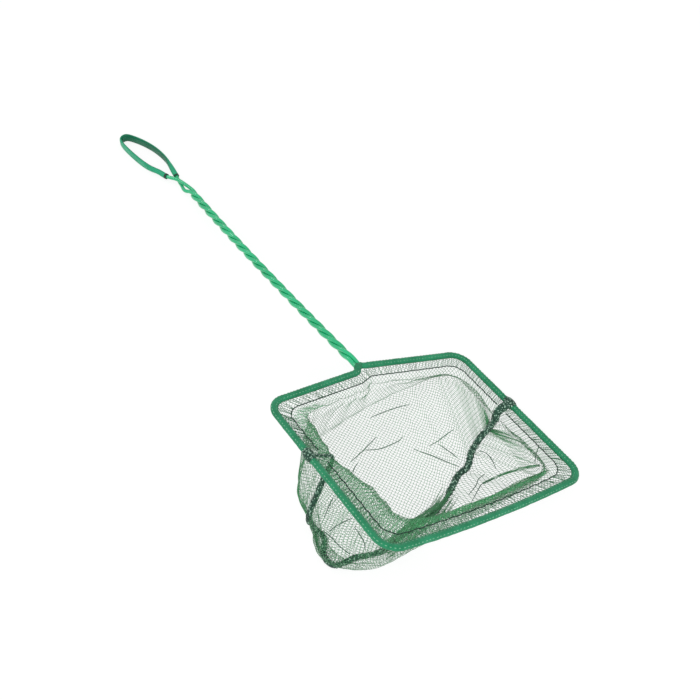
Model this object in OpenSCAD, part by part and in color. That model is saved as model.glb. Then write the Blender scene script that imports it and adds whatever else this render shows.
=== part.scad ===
// Small hand net for a fish tank, lying on a table at z = 0.
// A wire hoop bound with cloth tape holds a bag of two net panels. Both legs of the hoop's
// wire are twisted with a third, shorter wire into the handle. They part at a small eye,
// cross, and end inside a soft sleeve that is bent round as the hanging loop.
// +Y runs toward the hanging loop and +X toward the side of the hoop that lies lowest.
// The origin is on the table, under the middle of the whole net.

/* [Hoop] */
// Width of the hoop over its binding
hoop_w = 150.5; // [110:0.5:220]
// Length of the hoop over its binding, without the neck
hoop_l = 122.5; // [90:0.5:200]
// Bend radius of the four corners, at the middle of the wire
corner_r = 11; // [8:0.5:20]
// How far the neck stands out behind the hoop's back side
neck_rise = 10.7; // [9:0.1:14]
// How far the neck sits to the left of the hoop's middle
neck_offset = 1.3; // [-6:0.1:6]
// Bend radius where the left leg turns out of the hoop
left_bend_r = 6; // [4:0.5:8]
// Bend radius where the right leg turns out of the hoop
right_bend_r = 3.5; // [3:0.5:6]
// How much nearer the handle the right leg turns out
right_lift = 2; // [0:0.5:3]
// How far the front side bows outward
front_bow = 3; // [0:0.5:6]
// Sideways tilt of the hoop, the left side being up
hoop_roll = 18.2; // [10:0.2:22]
// Slope of the hoop down toward the handle
hoop_pitch = 2.9; // [0:0.1:4]

/* [Wire] */
// Diameter of the coated wire
wire_d = 2.7; // [2:0.1:4]
// Thickness of the plastic coat on the steel
coat_t = 0.4; // [0.2:0.05:0.6]

/* [Handle] */
// Length of the three-strand twist, from the neck to the eye
twist_l = 220.5; // [140:0.5:400]
// Length in which a strand winds once round the others
twist_pitch = 35.4; // [28:0.1:60]
// Sideways turn of the handle
handle_yaw = 0.1; // [-2:0.1:2]
// How far the handle's middle is bent out to the left
handle_bow = 1.5; // [0:0.1:4]
// How far short of the neck and of the eye the third strand ends
stiffener_inset = 3; // [1:0.5:8]

/* [Hanging loop] */
// Length of the loop beyond the twist
loop_l = 86; // [70:0.5:160]
// Width of the loop between the middles of its two sides
loop_w = 19.5; // [16:0.5:32]
// Height of the soft sleeve where it lies flat between its two shrunk ends
band_w = 6.6; // [5.5:0.1:9]
// Wall of the sleeve
sleeve_wall = 0.5; // [0.4:0.05:1]

/* [Binding] */
// Thickness of the cloth tape round the wire
tape_t = 0.5; // [0.2:0.05:0.8]
// Thickness of the dark seam wraps over the tape
wrap_t = 0.9; // [0.4:0.1:1.5]
// Length of each seam wrap along the rim
wrap_l = 8; // [4:0.5:14]
// Distance of the left seam wrap's middle from the hoop's back edge
left_wrap_at = 47.5; // [35:0.5:60]
// Distance of the right seam wrap's middle from the hoop's back edge
right_wrap_at = 54; // [35:0.5:60]

/* [Bag] */
// Thickness of the netting as it is gathered
net_t = 0.6; // [0.4:0.1:1.2]
// Diameter of the rolled seam between the two panels
seam_d = 4.4; // [3:0.1:6]
// Width of the doubled hem below the rim
hem_w = 8; // [6:0.5:9]
// How far the bag folds in over itself on the raised left side
left_fold = 19; // [15:0.5:22]
// How far the bag folds in over itself along the front
front_fold = 15; // [13:0.5:20]
// How far the bag stands in from the rim on its low right side
right_fold = 11; // [10:0.5:18]
// How far the bag stands in from the rim along the back
back_fold = 10; // [9.5:0.5:16]
// How far the folds sag below the hoop
fold_drop = 5; // [3:0.5:8]
// Diameter of the hem's thread
hem_thread_d = 0.5; // [0.3:0.1:0.8]
// Diameter of the pale thread along the binding
rim_thread_d = 0.6; // [0.3:0.1:0.8]

/* [Hidden] */

// Numbers of facets and steps
wire_sides = 8;
sleeve_sides = 10;
seam_sides = 8;
thread_sides = 4;
turn_steps = 9;
corner_steps = 6;
bow_steps = 8;
loop_steps = 2;
hem_steps = 36;
seam_steps = 44;
wrap_steps = 4;
row_steps = [1, 2, 3, 3, 2, 3];
// Step of a leg's bend at which the binding begins
binding_start = 2;

// The netting is drawn as a plain grid of openings. Cells across a panel, and the places down
// it where the bars lie, counted from the binding (0) over the hem (1), fold (2), wall (3, 4)
// and foot (5) to the seam (6). The back panel's long floor has two more bars.
cells_across = 12;
back_bar_places = [0, 1, 2, 3, 4, 5, 5.35, 5.7, 6];
front_bar_places = [0, 1, 2, 3, 4, 5, 6];
// Lines of the grid in each cell, as shares of the cell: its start, the opening's two edges
// and, from column to column, the opening's middle
column_line_shares = [0, 0.08, 0.5, 0.92];
row_line_shares = [0, 0.13, 0.87];

// Clearances: steel in its coat, strand to strand, tape on the wire, sleeve on the wire
coat_gap = 0.02;
strand_gap = 0.12;
tape_gap = 0.08;
sleeve_gap = 0.15;
// Gap left inside the sleeve where it is pressed flat
flat_gap = 0.9;
// Gap between two lengths of tape that meet under a seam wrap
butt_gap = 0.4;

wire_r = wire_d / 2;
core_r = wire_r - coat_t;
tape_r = wire_r + tape_gap + tape_t;
seam_r = seam_d / 2;
net_mid = net_t / 2;

// Half distance between the two legs where they leave the hoop, and the twist's radius at
// its rings, between which the strands' straight steps cut the corner
leg_x = (wire_d + strand_gap) / 2;
twist_r = (wire_d + strand_gap) / sqrt(3) / cos(180 / turn_steps);
// Length of the twist in which the strands close up, and the third strand's start above
lead_l = 3 * wire_d;
perch_r = sqrt(pow(2 * leg_x, 2) - pow(leg_x, 2));

// Middle of the rim's section in the hoop's own plane, whose origin is at the neck
half_w = hoop_w / 2 - tape_r;
back_y = -neck_rise;
front_y = back_y - (hoop_l - 2 * tape_r);
mid_y = (back_y + front_y) / 2;
half_l = (back_y - front_y) / 2;
function wrap_y(side) = back_y + tape_r - (side < 0 ? left_wrap_at : right_wrap_at);

// Height of the neck at which the hoop's low corner just lies on the table
slope_x = sin(hoop_roll) * cos(hoop_pitch);
slope_y = sin(hoop_pitch);
neck_h = (neck_offset + half_w - corner_r) * slope_x + (back_y - corner_r) * slope_y
    + corner_r * norm([slope_x, slope_y]) + tape_r;

// Sleeve: its bore, its round outside, and its width and thickness where it lies flat
bore_r = wire_r + sleeve_gap;
sleeve_r = bore_r + sleeve_wall;
band_half = band_w / 2;
flat_half = flat_gap / 2 + sleeve_wall;

// The twist's far end rests just above the table: its axis stands this share of the twist's
// outer radius above it
handle_end_share = 1.15;
handle_end_h = handle_end_share * (twist_r + wire_r);
handle_pitch = asin((neck_h - handle_end_h) / twist_l);
handle_end = handle_to_part([0, twist_l, 0]);

// Foot of the bag, where it comes down on the table, in shares of the hoop's width and
// length from the neck: nine places along the back panel and along the front panel, both
// from the left wrap to the right one
back_foot_shares = [[-0.505, -0.54], [-0.47, -0.37], [-0.33, -0.19], [-0.2, -0.16],
    [-0.01, -0.14], [0.19, -0.15], [0.36, -0.19], [0.41, -0.34], [0.38, -0.55]];
front_foot_shares = [[-0.505, -0.54], [-0.545, -0.745], [-0.42, -0.89], [-0.23, -0.915],
    [-0.01, -0.93], [0.2, -0.94], [0.37, -0.93], [0.41, -0.8], [0.38, -0.55]];
// How far in the fold lies at the same nine places, in shares of the folds' sizes
back_fold_shares = [0.83, 1, 1, 1, 1, 1, 1, 1, 1];
front_fold_shares = [0.83, 1.2, 1.25, 1, 1, 1, 1, 1, 1];
// The seam across the table, in the foot's shares, from the left foot to the right foot
seam_shares = [[-0.508, -0.575], [-0.498, -0.645], [-0.54, -0.72], [-0.525, -0.79],
    [-0.45, -0.806], [-0.36, -0.845], [-0.25, -0.835], [-0.15, -0.82], [-0.067, -0.81],
    [0.02, -0.76], [0.09, -0.71], [0.14, -0.7], [0.2, -0.64], [0.265, -0.6], [0.34, -0.57]];
// How strongly the foot's places are drawn to the seam's two ends
seam_draw_share = 0.8;
// Heights of the bag's wall between the folds and the foot, in shares of the rim's height,
// and how far out from the fold to the foot the wall stands there
upper_wall_share = 0.55;
lower_wall_share = 0.24;
upper_reach_share = 0.5;
lower_reach_share = 1.03;
// How far the hem's stitch sags, as a share of the folds' drop
hem_drop_share = 0.25;
// Thickness of a seam wrap at its two ends, as a share of its middle
wrap_end_share = 0.6;

// The hanging loop from one leg round to the other, as shares of its width and length
// from the twist's end, and its lift above the table in shares of a wire's width
loop_shares = [[0.05, 0.041, 0.28], [-0.01, 0.1, 0.35], [-0.088, 0.168, 0.35],
    [-0.18, 0.216, 0.32], [-0.365, 0.294, 0], [-0.503, 0.389, 0], [-0.678, 0.476, 0],
    [-0.8, 0.575, 0], [-0.883, 0.692, 0], [-0.934, 0.796, 0], [-0.955, 0.889, 0],
    [-0.914, 0.952, 0], [-0.765, 0.98, 0], [-0.59, 0.972, 0], [-0.416, 0.916, 0],
    [-0.222, 0.825, 0], [-0.063, 0.72, 0], [0.035, 0.61, 0], [0.066, 0.505, 0], [0.04, 0.412, 0],
    [-0.006, 0.331, 0], [-0.037, 0.258, -0.25], [-0.068, 0.197, -0.675], [-0.104, 0.132, -0.57],
    [-0.16, 0.078, -0.2], [-0.165, 0.036, 0.04]];
// Places in that list, counted with the twist's own end as the first: the two mouths of
// the sleeve, and how far past them the wire goes in
near_mouth = 5;
far_mouth = 22;
wire_insert = 1;
// Stretch of the same list over which the sleeve goes from round to flat
flatten_run = 2.2;

// Whole net's extent, for the origin under its middle: the hoop's low side and the seam's
// outermost place, the loop's end and the hoop's front
high_x = (neck_offset + half_w) * cos(hoop_roll) + tape_r;
low_x = min([for (p = seam_shares) p.x]) * hoop_w - seam_r;
mid_x = (high_x + low_x) / 2;
high_y = handle_end.y + max([for (p = loop_shares) p.y]) * loop_l + flat_half;
low_y = (front_y - front_bow) * cos(hoop_pitch) - tape_r;
centre_y = (high_y + low_y) / 2;

// Small helpers
function mix(a, b, u) = a + (b - a) * u;
function clamp01(u) = min(max(u, 0), 1);
function smooth(u) = clamp01(u) * clamp01(u) * (3 - 2 * clamp01(u));
function unit(v) = v / norm(v);
function lengths(path, i = 0, sum = 0) = i >= len(path) - 1 ? [sum]
    : concat([sum], lengths(path, i + 1, sum + norm(path[i + 1] - path[i])));

// Smooth curve through a list of points, at u from 0 to the last point's number
function curve_at(list, u) =
    let (n = len(list) - 1, i = min(floor(u), n - 1), f = u - i)
    let (a = list[max(i - 1, 0)], b = list[i], c = list[i + 1], d = list[min(i + 2, n)])
    b + f * (c - a) / 2 + f * f * (a - 2.5 * b + 2 * c - d / 2)
    + f * f * f * ((d - a) / 2 + 1.5 * (b - c));

// Point at a share of a path's whole length
function along(path, sums, share) =
    let (at = share * sums[len(sums) - 1])
    [lookup(at, [for (i = [0:len(path) - 1]) [sums[i], path[i].x]]),
     lookup(at, [for (i = [0:len(path) - 1]) [sums[i], path[i].y]])];

function arc(x, y, r, from, to, steps) =
    [for (i = [0:steps]) let (a = mix(from, to, i / steps)) [x + r * cos(a), y + r * sin(a)]];

// From the hoop's plane, and from the handle's straight axis, to the part's frame
function hoop_to_part(p) =
    let (x = p.x * cos(hoop_roll) + p.z * sin(hoop_roll))
    let (z = p.z * cos(hoop_roll) - p.x * sin(hoop_roll))
    [x, p.y * cos(hoop_pitch) + z * sin(hoop_pitch),
     z * cos(hoop_pitch) - p.y * sin(hoop_pitch) + neck_h];
function handle_to_part(p) =
    let (y = p.y * cos(handle_pitch) + p.z * sin(handle_pitch), u = p.y / twist_l)
    let (x = p.x - 4 * handle_bow * u * (1 - u))
    [x * cos(handle_yaw) - y * sin(handle_yaw), x * sin(handle_yaw) + y * cos(handle_yaw),
     p.z * cos(handle_pitch) - p.y * sin(handle_pitch) + neck_h];
function flat_to_part(path) = [for (p = path) hoop_to_part([p.x, p.y, 0])];

// The rim in the hoop's plane. The front side is bowed out as a parabola. side is -1 for
// the left half and 1 for the right half.
function reversed(path) = [for (i = [len(path) - 1:-1:0]) path[i]];
function rim_x(side) = neck_offset + side * half_w;
function corner_x(side) = rim_x(side) - side * corner_r;
function back_half(side) = concat(
    arc(corner_x(side), back_y - corner_r, corner_r, 90, side < 0 ? 180 : 0, corner_steps),
    [[rim_x(side), wrap_y(side)]]);
function bow_at(p) =
    front_bow * (1 - pow((p.x - neck_offset) / half_w, 2)) * clamp01((mid_y - p.y) / half_l);
rim_front_straight = concat([[rim_x(-1), wrap_y(-1)]],
    arc(corner_x(-1), front_y + corner_r, corner_r, 180, 270, corner_steps),
    [for (i = [1:bow_steps - 1]) [mix(corner_x(-1), corner_x(1), i / bow_steps), front_y]],
    arc(corner_x(1), front_y + corner_r, corner_r, 270, 360, corner_steps),
    [[rim_x(1), wrap_y(1)]]);
rim_front = [for (p = rim_front_straight) [p.x, p.y - bow_at(p)]];

// Where a leg turns out of the hoop: an arc from the handle's direction to the back side,
// which slopes evenly from there down to the corner
function neck_bend(side) =
    let (r = side < 0 ? left_bend_r : right_bend_r, lift = side < 0 ? 0 : right_lift)
    let (slope = atan((lift - r - back_y) / (abs(rim_x(side)) - corner_r - leg_x - r)))
    [for (i = [0:corner_steps]) let (a = -(90 - slope) * i / corner_steps)
        [side * (leg_x + r - r * cos(a)), lift + r * sin(a)]];

// A strand of the twist: it starts at one angle and distance from the handle's axis,
// closes up to the twist's radius, and winds to the left as it goes
function strand_at(angle, close_angle, start_r, y) =
    let (w = smooth(y / lead_l))
    let (a = mix(angle, close_angle, w) - hoop_roll + 360 * y / twist_pitch)
    let (r = mix(start_r, twist_r, w))
    handle_to_part([r * cos(a), y, r * sin(a)]);
twist_rings = ceil(twist_l / twist_pitch * turn_steps);
function left_leg(y) = strand_at(180, 90, leg_x, y);
function right_leg(y) = strand_at(0, -30, leg_x, y);
function stiffener_at(y) = strand_at(270, 210, perch_r, y);

// The hanging loop's curve, from the right leg's end to the left leg's end
function loop_point(s) =
    [handle_end.x + s.x * loop_w, handle_end.y + s.y * loop_l,
     band_half + s.z * (wire_d + strand_gap)];
loop_list = concat([right_leg(twist_l)], [for (s = loop_shares) loop_point(s)], [left_leg(twist_l)]);
loop_last = len(loop_list) - 1;
function loop_run(from, to) =
    let (steps = ceil((to - from) * loop_steps))
    [for (i = [0:steps]) curve_at(loop_list, mix(from, to, i / steps))];

// The whole wire: from inside the far mouth down the left leg, round the hoop, up the right
// leg and into the near mouth
wire_path = concat(
    loop_run(far_mouth - wire_insert, loop_last),
    [for (i = [twist_rings - 1:-1:1]) left_leg(i * twist_l / twist_rings)],
    flat_to_part(neck_bend(-1)),
    flat_to_part(back_half(-1)),
    flat_to_part([for (i = [1:len(rim_front) - 2]) rim_front[i]]),
    flat_to_part(reversed(back_half(1))),
    flat_to_part(reversed(neck_bend(1))),
    [for (i = [1:twist_rings - 1]) right_leg(i * twist_l / twist_rings)],
    loop_run(0, near_mouth + wire_insert));
stiffener_path = [for (i = [0:twist_rings])
    stiffener_at(mix(stiffener_inset, twist_l - stiffener_inset, i / twist_rings))];

// The bag. A panel's top edge follows half the rim; bag_rim gives that half in the plane.
bag_rim_back = concat(reversed(back_half(-1)),
    [neck_bend(-1)[corner_steps], neck_bend(1)[corner_steps]], back_half(1));
back_sums = lengths(bag_rim_back);
front_sums = lengths(rim_front);
function rim_at(back, share) =
    back ? along(bag_rim_back, back_sums, share) : along(rim_front, front_sums, share);

// A rim point drawn in toward the hoop's middle, by its own distance on each side
function drawn_in(p, left, right, front, back) =
    let (x = p.x - neck_offset, y = p.y - mid_y)
    let (dx = mix(right, left, (1 - x / half_w) / 2))
    let (dy = mix(front, back, clamp01((1 + y / half_l) / 2)))
    [neck_offset + x * (1 - dx / half_w), mid_y + y * (1 - dy / half_l)];
function above_table(p) = [p.x, p.y, max(p.z, net_mid)];

// The seven places that a panel passes on its way from the rim to the seam: the binding,
// the hem's stitch, the fold's edge, the wall twice, the foot on the table and the seam
function panel_places(back, share) =
    let (rim = rim_at(back, share), top = hoop_to_part([rim.x, rim.y, 0]))
    let (edge = drawn_in(rim, tape_r, tape_r, tape_r, tape_r))
    let (hem = drawn_in(rim, hem_w, hem_w, hem_w, hem_w))
    let (folded = curve_at(back ? back_fold_shares : front_fold_shares, share * 8))
    let (fold = drawn_in(rim, folded * left_fold, folded * right_fold, folded * front_fold,
        folded * back_fold))
    let (fold_part = hoop_to_part([fold.x, fold.y, -fold_drop]))
    let (foot_share = curve_at(back ? back_foot_shares : front_foot_shares, share * 8))
    let (foot = [foot_share.x * hoop_w, foot_share.y * hoop_l])
    let (drawn = share - seam_draw_share * sin(360 * share) / (2 * PI))
    let (seam = curve_at(seam_shares, drawn * (len(seam_shares) - 1)))
    let (inner = [fold_part.x, fold_part.y])
    let (upper = mix(inner, foot, upper_reach_share), lower = mix(inner, foot, lower_reach_share))
    [above_table(hoop_to_part([edge.x, edge.y, 0])),
     above_table(hoop_to_part([hem.x, hem.y, -hem_drop_share * fold_drop])),
     above_table(fold_part),
     above_table([upper.x, upper.y, upper_wall_share * top.z]),
     above_table([lower.x, lower.y, lower_wall_share * top.z]),
     [foot.x, foot.y, net_mid],
     [seam.x * hoop_w, seam.y * hoop_l, net_mid]];
row_list = concat(
    [for (k = [0:len(row_steps) - 1]) for (i = [0:row_steps[k] - 1]) k + i / row_steps[k]],
    [len(row_steps)]);
function panel_at(back, share, place) = above_table(curve_at(panel_places(back, share), place));

// The seam's line: down the left edge of the bag, across the table and up the right edge
seam_left_edge = [for (r = row_list) panel_at(true, 0, r)];
seam_right_edge = [for (r = row_list) panel_at(true, 1, r)];
seam_across = [for (i = [1:seam_steps - 1])
    let (s = curve_at(seam_shares, i / seam_steps * (len(seam_shares) - 1)))
    [s.x * hoop_w, s.y * hoop_l, net_mid]];
seam_path = [for (p = concat(seam_left_edge, seam_across, reversed(seam_right_edge)))
    [p.x, p.y, max(p.z, seam_r)]];

// Tube along a path, with an oval section whose half sizes across and upward are given for
// each ring. Where bores are given too, the tube is hollow.
module swept_tube(path, sides, outs, bores = []) {
    n = len(path);
    hollow = len(bores) > 0;
    function ring(i, half) =
        let (t = unit(path[min(i + 1, n - 1)] - path[max(i - 1, 0)]))
        let (across = unit(cross(t, [0, 0, 1])), up = cross(across, t))
        [for (k = [0:sides - 1]) let (a = 360 * (k + 0.5) / sides)
            path[i] + half.x * cos(a) * across + half.y * sin(a) * up];
    outer = [for (i = [0:n - 1]) each ring(i, outs[i])];
    inner = hollow ? [for (i = [0:n - 1]) each ring(i, bores[i])] : [];
    base = n * sides;
    last = (n - 1) * sides;
    skin = [for (i = [0:n - 2]) for (k = [0:sides - 1])
        let (a = i * sides + k, b = i * sides + (k + 1) % sides)
        each [[a, b, b + sides], [a, b + sides, a + sides]]];
    bore = [for (f = skin) [f[2] + base, f[1] + base, f[0] + base]];
    closed_ends = [[for (k = [sides - 1:-1:0]) k], [for (k = [0:sides - 1]) last + k]];
    ring_ends = [for (k = [0:sides - 1]) let (b = (k + 1) % sides)
        each [[k, base + k, base + b], [k, base + b, b],
            [last + k, last + b, base + last + b], [last + k, base + last + b, base + last + k]]];
    polyhedron(points = concat(outer, inner),
        faces = hollow ? concat(skin, bore, ring_ends) : concat(skin, closed_ends), convexity = 10);
}
function same(path, r) = [for (p = path) [r, r]];
module round_rod(path, r, sides) swept_tube(path, sides, same(path, r));
module round_pipe(path, r, bore, sides) swept_tube(path, sides, same(path, r), same(path, bore));

// Every piece is drawn from the neck and then moved so that the origin is under the middle
module placed() translate([-mid_x, -centre_y, 0]) children();

module hoop_wire_core() {
    color("#8d9296") placed() round_rod(wire_path, core_r, wire_sides);
}

module hoop_wire_coating() {
    color("#3cb982") placed() round_pipe(wire_path, wire_r, core_r + coat_gap, wire_sides);
}

module stiffener_core() {
    color("#8d9296") placed() round_rod(stiffener_path, core_r, wire_sides);
}

module stiffener_coating() {
    color("#3cb982") placed() round_pipe(stiffener_path, wire_r, core_r + coat_gap, wire_sides);
}

// Soft sleeve: round over the wire at its two mouths and pressed flat, on edge, between
module hang_loop_sleeve() {
    steps = (far_mouth - near_mouth) * loop_steps;
    places = [for (i = [0:steps]) mix(near_mouth, far_mouth, i / steps)];
    flats = [for (u = places) smooth((min(u - near_mouth, far_mouth - u) - wire_insert) / flatten_run)];
    outs = [for (f = flats) [mix(sleeve_r, flat_half, f), mix(sleeve_r, band_half, f)]];
    bores = [for (f = flats) [mix(bore_r, flat_gap / 2, f), mix(bore_r, band_half - sleeve_wall, f)]];
    path = [for (u = places) curve_at(loop_list, u)];
    color("#50b48c") placed() swept_tube(path, sleeve_sides, outs, bores);
}

// A length of the binding: the tape's tube round the rim, kept short of its neighbours
module binding(path) {
    color("#2d8c5f") placed() round_pipe(flat_to_part(path), tape_r, wire_r + tape_gap, wire_sides);
}
function back_binding_path(side) = concat(
    [for (i = [binding_start:corner_steps]) neck_bend(side)[i]],
    [for (p = back_half(side)) p.y == wrap_y(side) ? [p.x, p.y + butt_gap / 2] : p]);

module rim_tape_back_left() {
    binding(back_binding_path(-1));
}

module rim_tape_back_right() {
    binding(reversed(back_binding_path(1)));
}

module rim_tape_front() {
    last = len(rim_front) - 1;
    binding([for (i = [0:last]) rim_front[i] - (i % last == 0 ? [0, butt_gap / 2] : [0, 0])]);
}

// Lines of a grid whose bars lie at the given places
function grid_lines(bars, line_shares) = concat(
    [for (i = [0:len(bars) - 2]) for (u = line_shares) mix(bars[i], bars[i + 1], u)],
    [bars[len(bars) - 1]]);

// A panel of the bag: a sheet of netting given its thickness square to its own surface, with
// a plain grid of openings
module bag_panel(back) {
    shares = grid_lines([for (i = [0:cells_across]) i / cells_across], column_line_shares);
    places = grid_lines(back ? back_bar_places : front_bar_places, row_line_shares);
    cols = len(shares);
    rows = len(places);
    cell_cols = len(column_line_shares);
    cell_rows = len(row_line_shares);
    // Columns from the left wrap to the right one, and in each the places from the binding to
    // the middle of the rolled seam, where the two panels meet
    grid = [for (s = shares) [for (r = places) panel_at(back, s, r)]];
    turn = back ? -1 : 1;
    function across(c, r) = grid[min(c + 1, cols - 1)][r] - grid[max(c - 1, 0)][r];
    function down(c, r) = grid[c][min(r + 1, rows - 1)] - grid[c][max(r - 1, 0)];
    function square_to(c, r) = turn * unit(cross(across(c, r), down(c, r)));
    inside = [for (c = [0:cols - 1]) for (r = [0:rows - 1]) grid[c][r] + net_mid * square_to(c, r)];
    outside = [for (c = [0:cols - 1]) for (r = [0:rows - 1]) grid[c][r] - net_mid * square_to(c, r)];
    half = cols * rows;
    function flip(f) = back ? f : [f[0], f[2], f[1]];
    // A cell's first and last squares, both ways, are bars, and those between its opening
    function opens(i, cell) = i % cell > 0 && i % cell < cell - 1;
    sheet = [for (c = [0:cols - 2]) for (r = [0:rows - 2])
        if (!(opens(c, cell_cols) && opens(r, cell_rows))) let (a = c * rows + r, b = a + rows)
            each [flip([a, b, b + 1]), flip([a, b + 1, a + 1])]];
    under = [for (f = sheet) [f[0] + half, f[2] + half, f[1] + half]];
    // Points round a stretch of the grid, and the wall along them
    function round_trip(c0, c1, r0, r1) = concat([for (c = [c0:c1]) c * rows + r0],
        [for (r = [r0 + 1:r1]) c1 * rows + r], [for (c = [c1 - 1:-1:c0]) c * rows + r1],
        [for (r = [r1 - 1:-1:r0 + 1]) c0 * rows + r]);
    function wall(trip) = [for (i = [0:len(trip) - 1]) let (a = trip[i], b = trip[(i + 1) % len(trip)])
        each [flip([a, a + half, b + half]), flip([a, b + half, b])]];
    edge = wall(round_trip(0, cols - 1, 0, rows - 1));
    opening_edges = [for (c = [1:cell_cols:cols - 2]) for (r = [1:cell_rows:rows - 2])
        each [for (f = wall(round_trip(c, c + cell_cols - 2, r, r + cell_rows - 2)))
            [f[0], f[2], f[1]]]];
    points = [for (p = concat(inside, outside)) [p.x, p.y, max(p.z, 0)]];
    color(back ? "#a9c9b5" : "#9cc4ac", 0.85) placed() polyhedron(points = points,
        faces = concat(sheet, under, edge, opening_edges), convexity = 10);
}

module bag_panel_back() {
    bag_panel(true);
}

module bag_panel_front() {
    bag_panel(false);
}

// The rolled seam that joins the panels
module bag_seam() {
    color("#1f4f3a") placed() round_rod(seam_path, seam_r, seam_sides);
}

// A seam wrap: the seam's end turned over the rim and sewn down. It is thickest halfway.
module seam_wrap(side) {
    bore = tape_r + tape_gap;
    shares = [for (i = [0:wrap_steps]) i / wrap_steps];
    path = flat_to_part([for (u = shares) [rim_x(side), wrap_y(side) + (u - 0.5) * wrap_l]]);
    outs = [for (u = shares) bore + wrap_t * mix(wrap_end_share, 1, sin(180 * u))];
    color("#1b4635") placed()
        swept_tube(path, wire_sides, [for (r = outs) [r, r]], same(path, bore));
}

module seam_wrap_left() {
    seam_wrap(-1);
}

module seam_wrap_right() {
    seam_wrap(1);
}

// The hem's thread, run along the panel where its doubled edge ends
module hem_stitch(back) {
    path = [for (c = [1:hem_steps - 1]) panel_at(back, c / hem_steps, 1) + [0, 0, net_mid]];
    color("#14382a") placed() round_rod(path, hem_thread_d / 2, thread_sides);
}

module hem_stitch_back() {
    hem_stitch(true);
}

module hem_stitch_front() {
    hem_stitch(false);
}

// The pale thread that shows along the top of the binding, half sunk in the cloth
module rim_stitch() {
    whole = concat(back_binding_path(-1), [for (i = [1:len(rim_front) - 2]) rim_front[i]],
        reversed(back_binding_path(1)));
    path = [for (p = whole) hoop_to_part([p.x, p.y, tape_r])];
    color("#a9dcc0") placed() round_rod(path, rim_thread_d / 2, thread_sides);
}

hoop_wire_core();
hoop_wire_coating();
stiffener_core();
stiffener_coating();
hang_loop_sleeve();
rim_tape_back_left();
rim_tape_back_right();
rim_tape_front();
bag_panel_back();
bag_panel_front();
bag_seam();
seam_wrap_left();
seam_wrap_right();
hem_stitch_back();
hem_stitch_front();
rim_stitch();
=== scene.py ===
"""The looks of a small aquarium hand net that lies on a table, in metres.

The hoop lies in a tilted plane through the neck, the handle is a twist of three strands, and
the bag is netting that goes from the binding over a fold and down to the rolled seam. The
shapes follow the same formulas as the part's solids, so every piece lies where its solid is.
"""

import math

import bpy
import numpy as np
from mathutils import Matrix


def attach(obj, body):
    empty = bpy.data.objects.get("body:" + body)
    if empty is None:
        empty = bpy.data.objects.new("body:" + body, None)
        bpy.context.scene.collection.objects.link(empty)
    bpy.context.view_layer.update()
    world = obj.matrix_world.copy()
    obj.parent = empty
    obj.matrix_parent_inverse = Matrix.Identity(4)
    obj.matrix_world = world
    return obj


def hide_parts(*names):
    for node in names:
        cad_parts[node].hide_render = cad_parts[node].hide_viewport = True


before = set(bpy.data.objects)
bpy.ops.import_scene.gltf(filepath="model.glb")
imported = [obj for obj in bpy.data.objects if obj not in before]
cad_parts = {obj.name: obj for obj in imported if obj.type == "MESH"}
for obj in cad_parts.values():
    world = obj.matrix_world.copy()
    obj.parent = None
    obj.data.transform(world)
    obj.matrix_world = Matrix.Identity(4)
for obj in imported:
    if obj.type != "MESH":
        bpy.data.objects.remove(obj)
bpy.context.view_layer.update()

# Hoop
HOOP_WIDTH = 0.1505
HOOP_LENGTH = 0.1225
CORNER_R = 0.011
NECK_RISE = 0.0107
NECK_OFFSET = 0.0013
LEFT_BEND_R = 0.006
RIGHT_BEND_R = 0.0035
RIGHT_LIFT = 0.002
FRONT_BOW = 0.003
HOOP_ROLL = math.radians(18.2)
HOOP_PITCH = math.radians(2.9)

# Wire, handle and hanging loop
WIRE_D = 0.0027
COAT_T = 0.0004
COAT_GAP = 0.00002
STRAND_GAP = 0.00012
TWIST_LENGTH = 0.2205
TWIST_PITCH = 0.0354
HANDLE_YAW = math.radians(0.1)
HANDLE_BOW = 0.0015
STIFFENER_INSET = 0.003
LOOP_LENGTH = 0.086
LOOP_WIDTH = 0.0195
BAND_HEIGHT = 0.0066
SLEEVE_WALL = 0.0005
SLEEVE_GAP = 0.00015
FLAT_GAP = 0.0009

# Binding, bag and threads
TAPE_T = 0.0005
TAPE_GAP = 0.00008
WRAP_T = 0.0009
WRAP_LENGTH = 0.008
LEFT_WRAP_AT = 0.0475
RIGHT_WRAP_AT = 0.054
BUTT_GAP = 0.0004
SEAM_D = 0.0044
HEM_WIDTH = 0.008
LEFT_FOLD = 0.019
FRONT_FOLD = 0.015
RIGHT_FOLD = 0.011
BACK_FOLD = 0.010
FOLD_DROP = 0.005
NET_LIFT = 0.0003

# Points on the wire's stretches: a bend at the neck, a corner, a side, the front and the twist
NECK_STEPS = 24
CORNER_STEPS = 20
SIDE_STEPS = 10
FRONT_STEPS = 50
TWIST_STEPS = 400

WIRE_R = WIRE_D / 2
CORE_BORE_R = WIRE_R - COAT_T + COAT_GAP
TAPE_R = WIRE_R + TAPE_GAP + TAPE_T
SEAM_R = SEAM_D / 2
LEG_X = (WIRE_D + STRAND_GAP) / 2
TWIST_R = (WIRE_D + STRAND_GAP) / math.sqrt(3)
LEAD_LENGTH = 3 * WIRE_D
PERCH_R = math.sqrt((2 * LEG_X) ** 2 - LEG_X ** 2)
SLEEVE_BORE_R = WIRE_R + SLEEVE_GAP
SLEEVE_R = SLEEVE_BORE_R + SLEEVE_WALL
BAND_HALF = BAND_HEIGHT / 2
FLAT_HALF = FLAT_GAP / 2 + SLEEVE_WALL

HALF_W = HOOP_WIDTH / 2 - TAPE_R
BACK_Y = -NECK_RISE
FRONT_Y = BACK_Y - (HOOP_LENGTH - 2 * TAPE_R)
MID_Y = (BACK_Y + FRONT_Y) / 2
HALF_L = (BACK_Y - FRONT_Y) / 2

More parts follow.
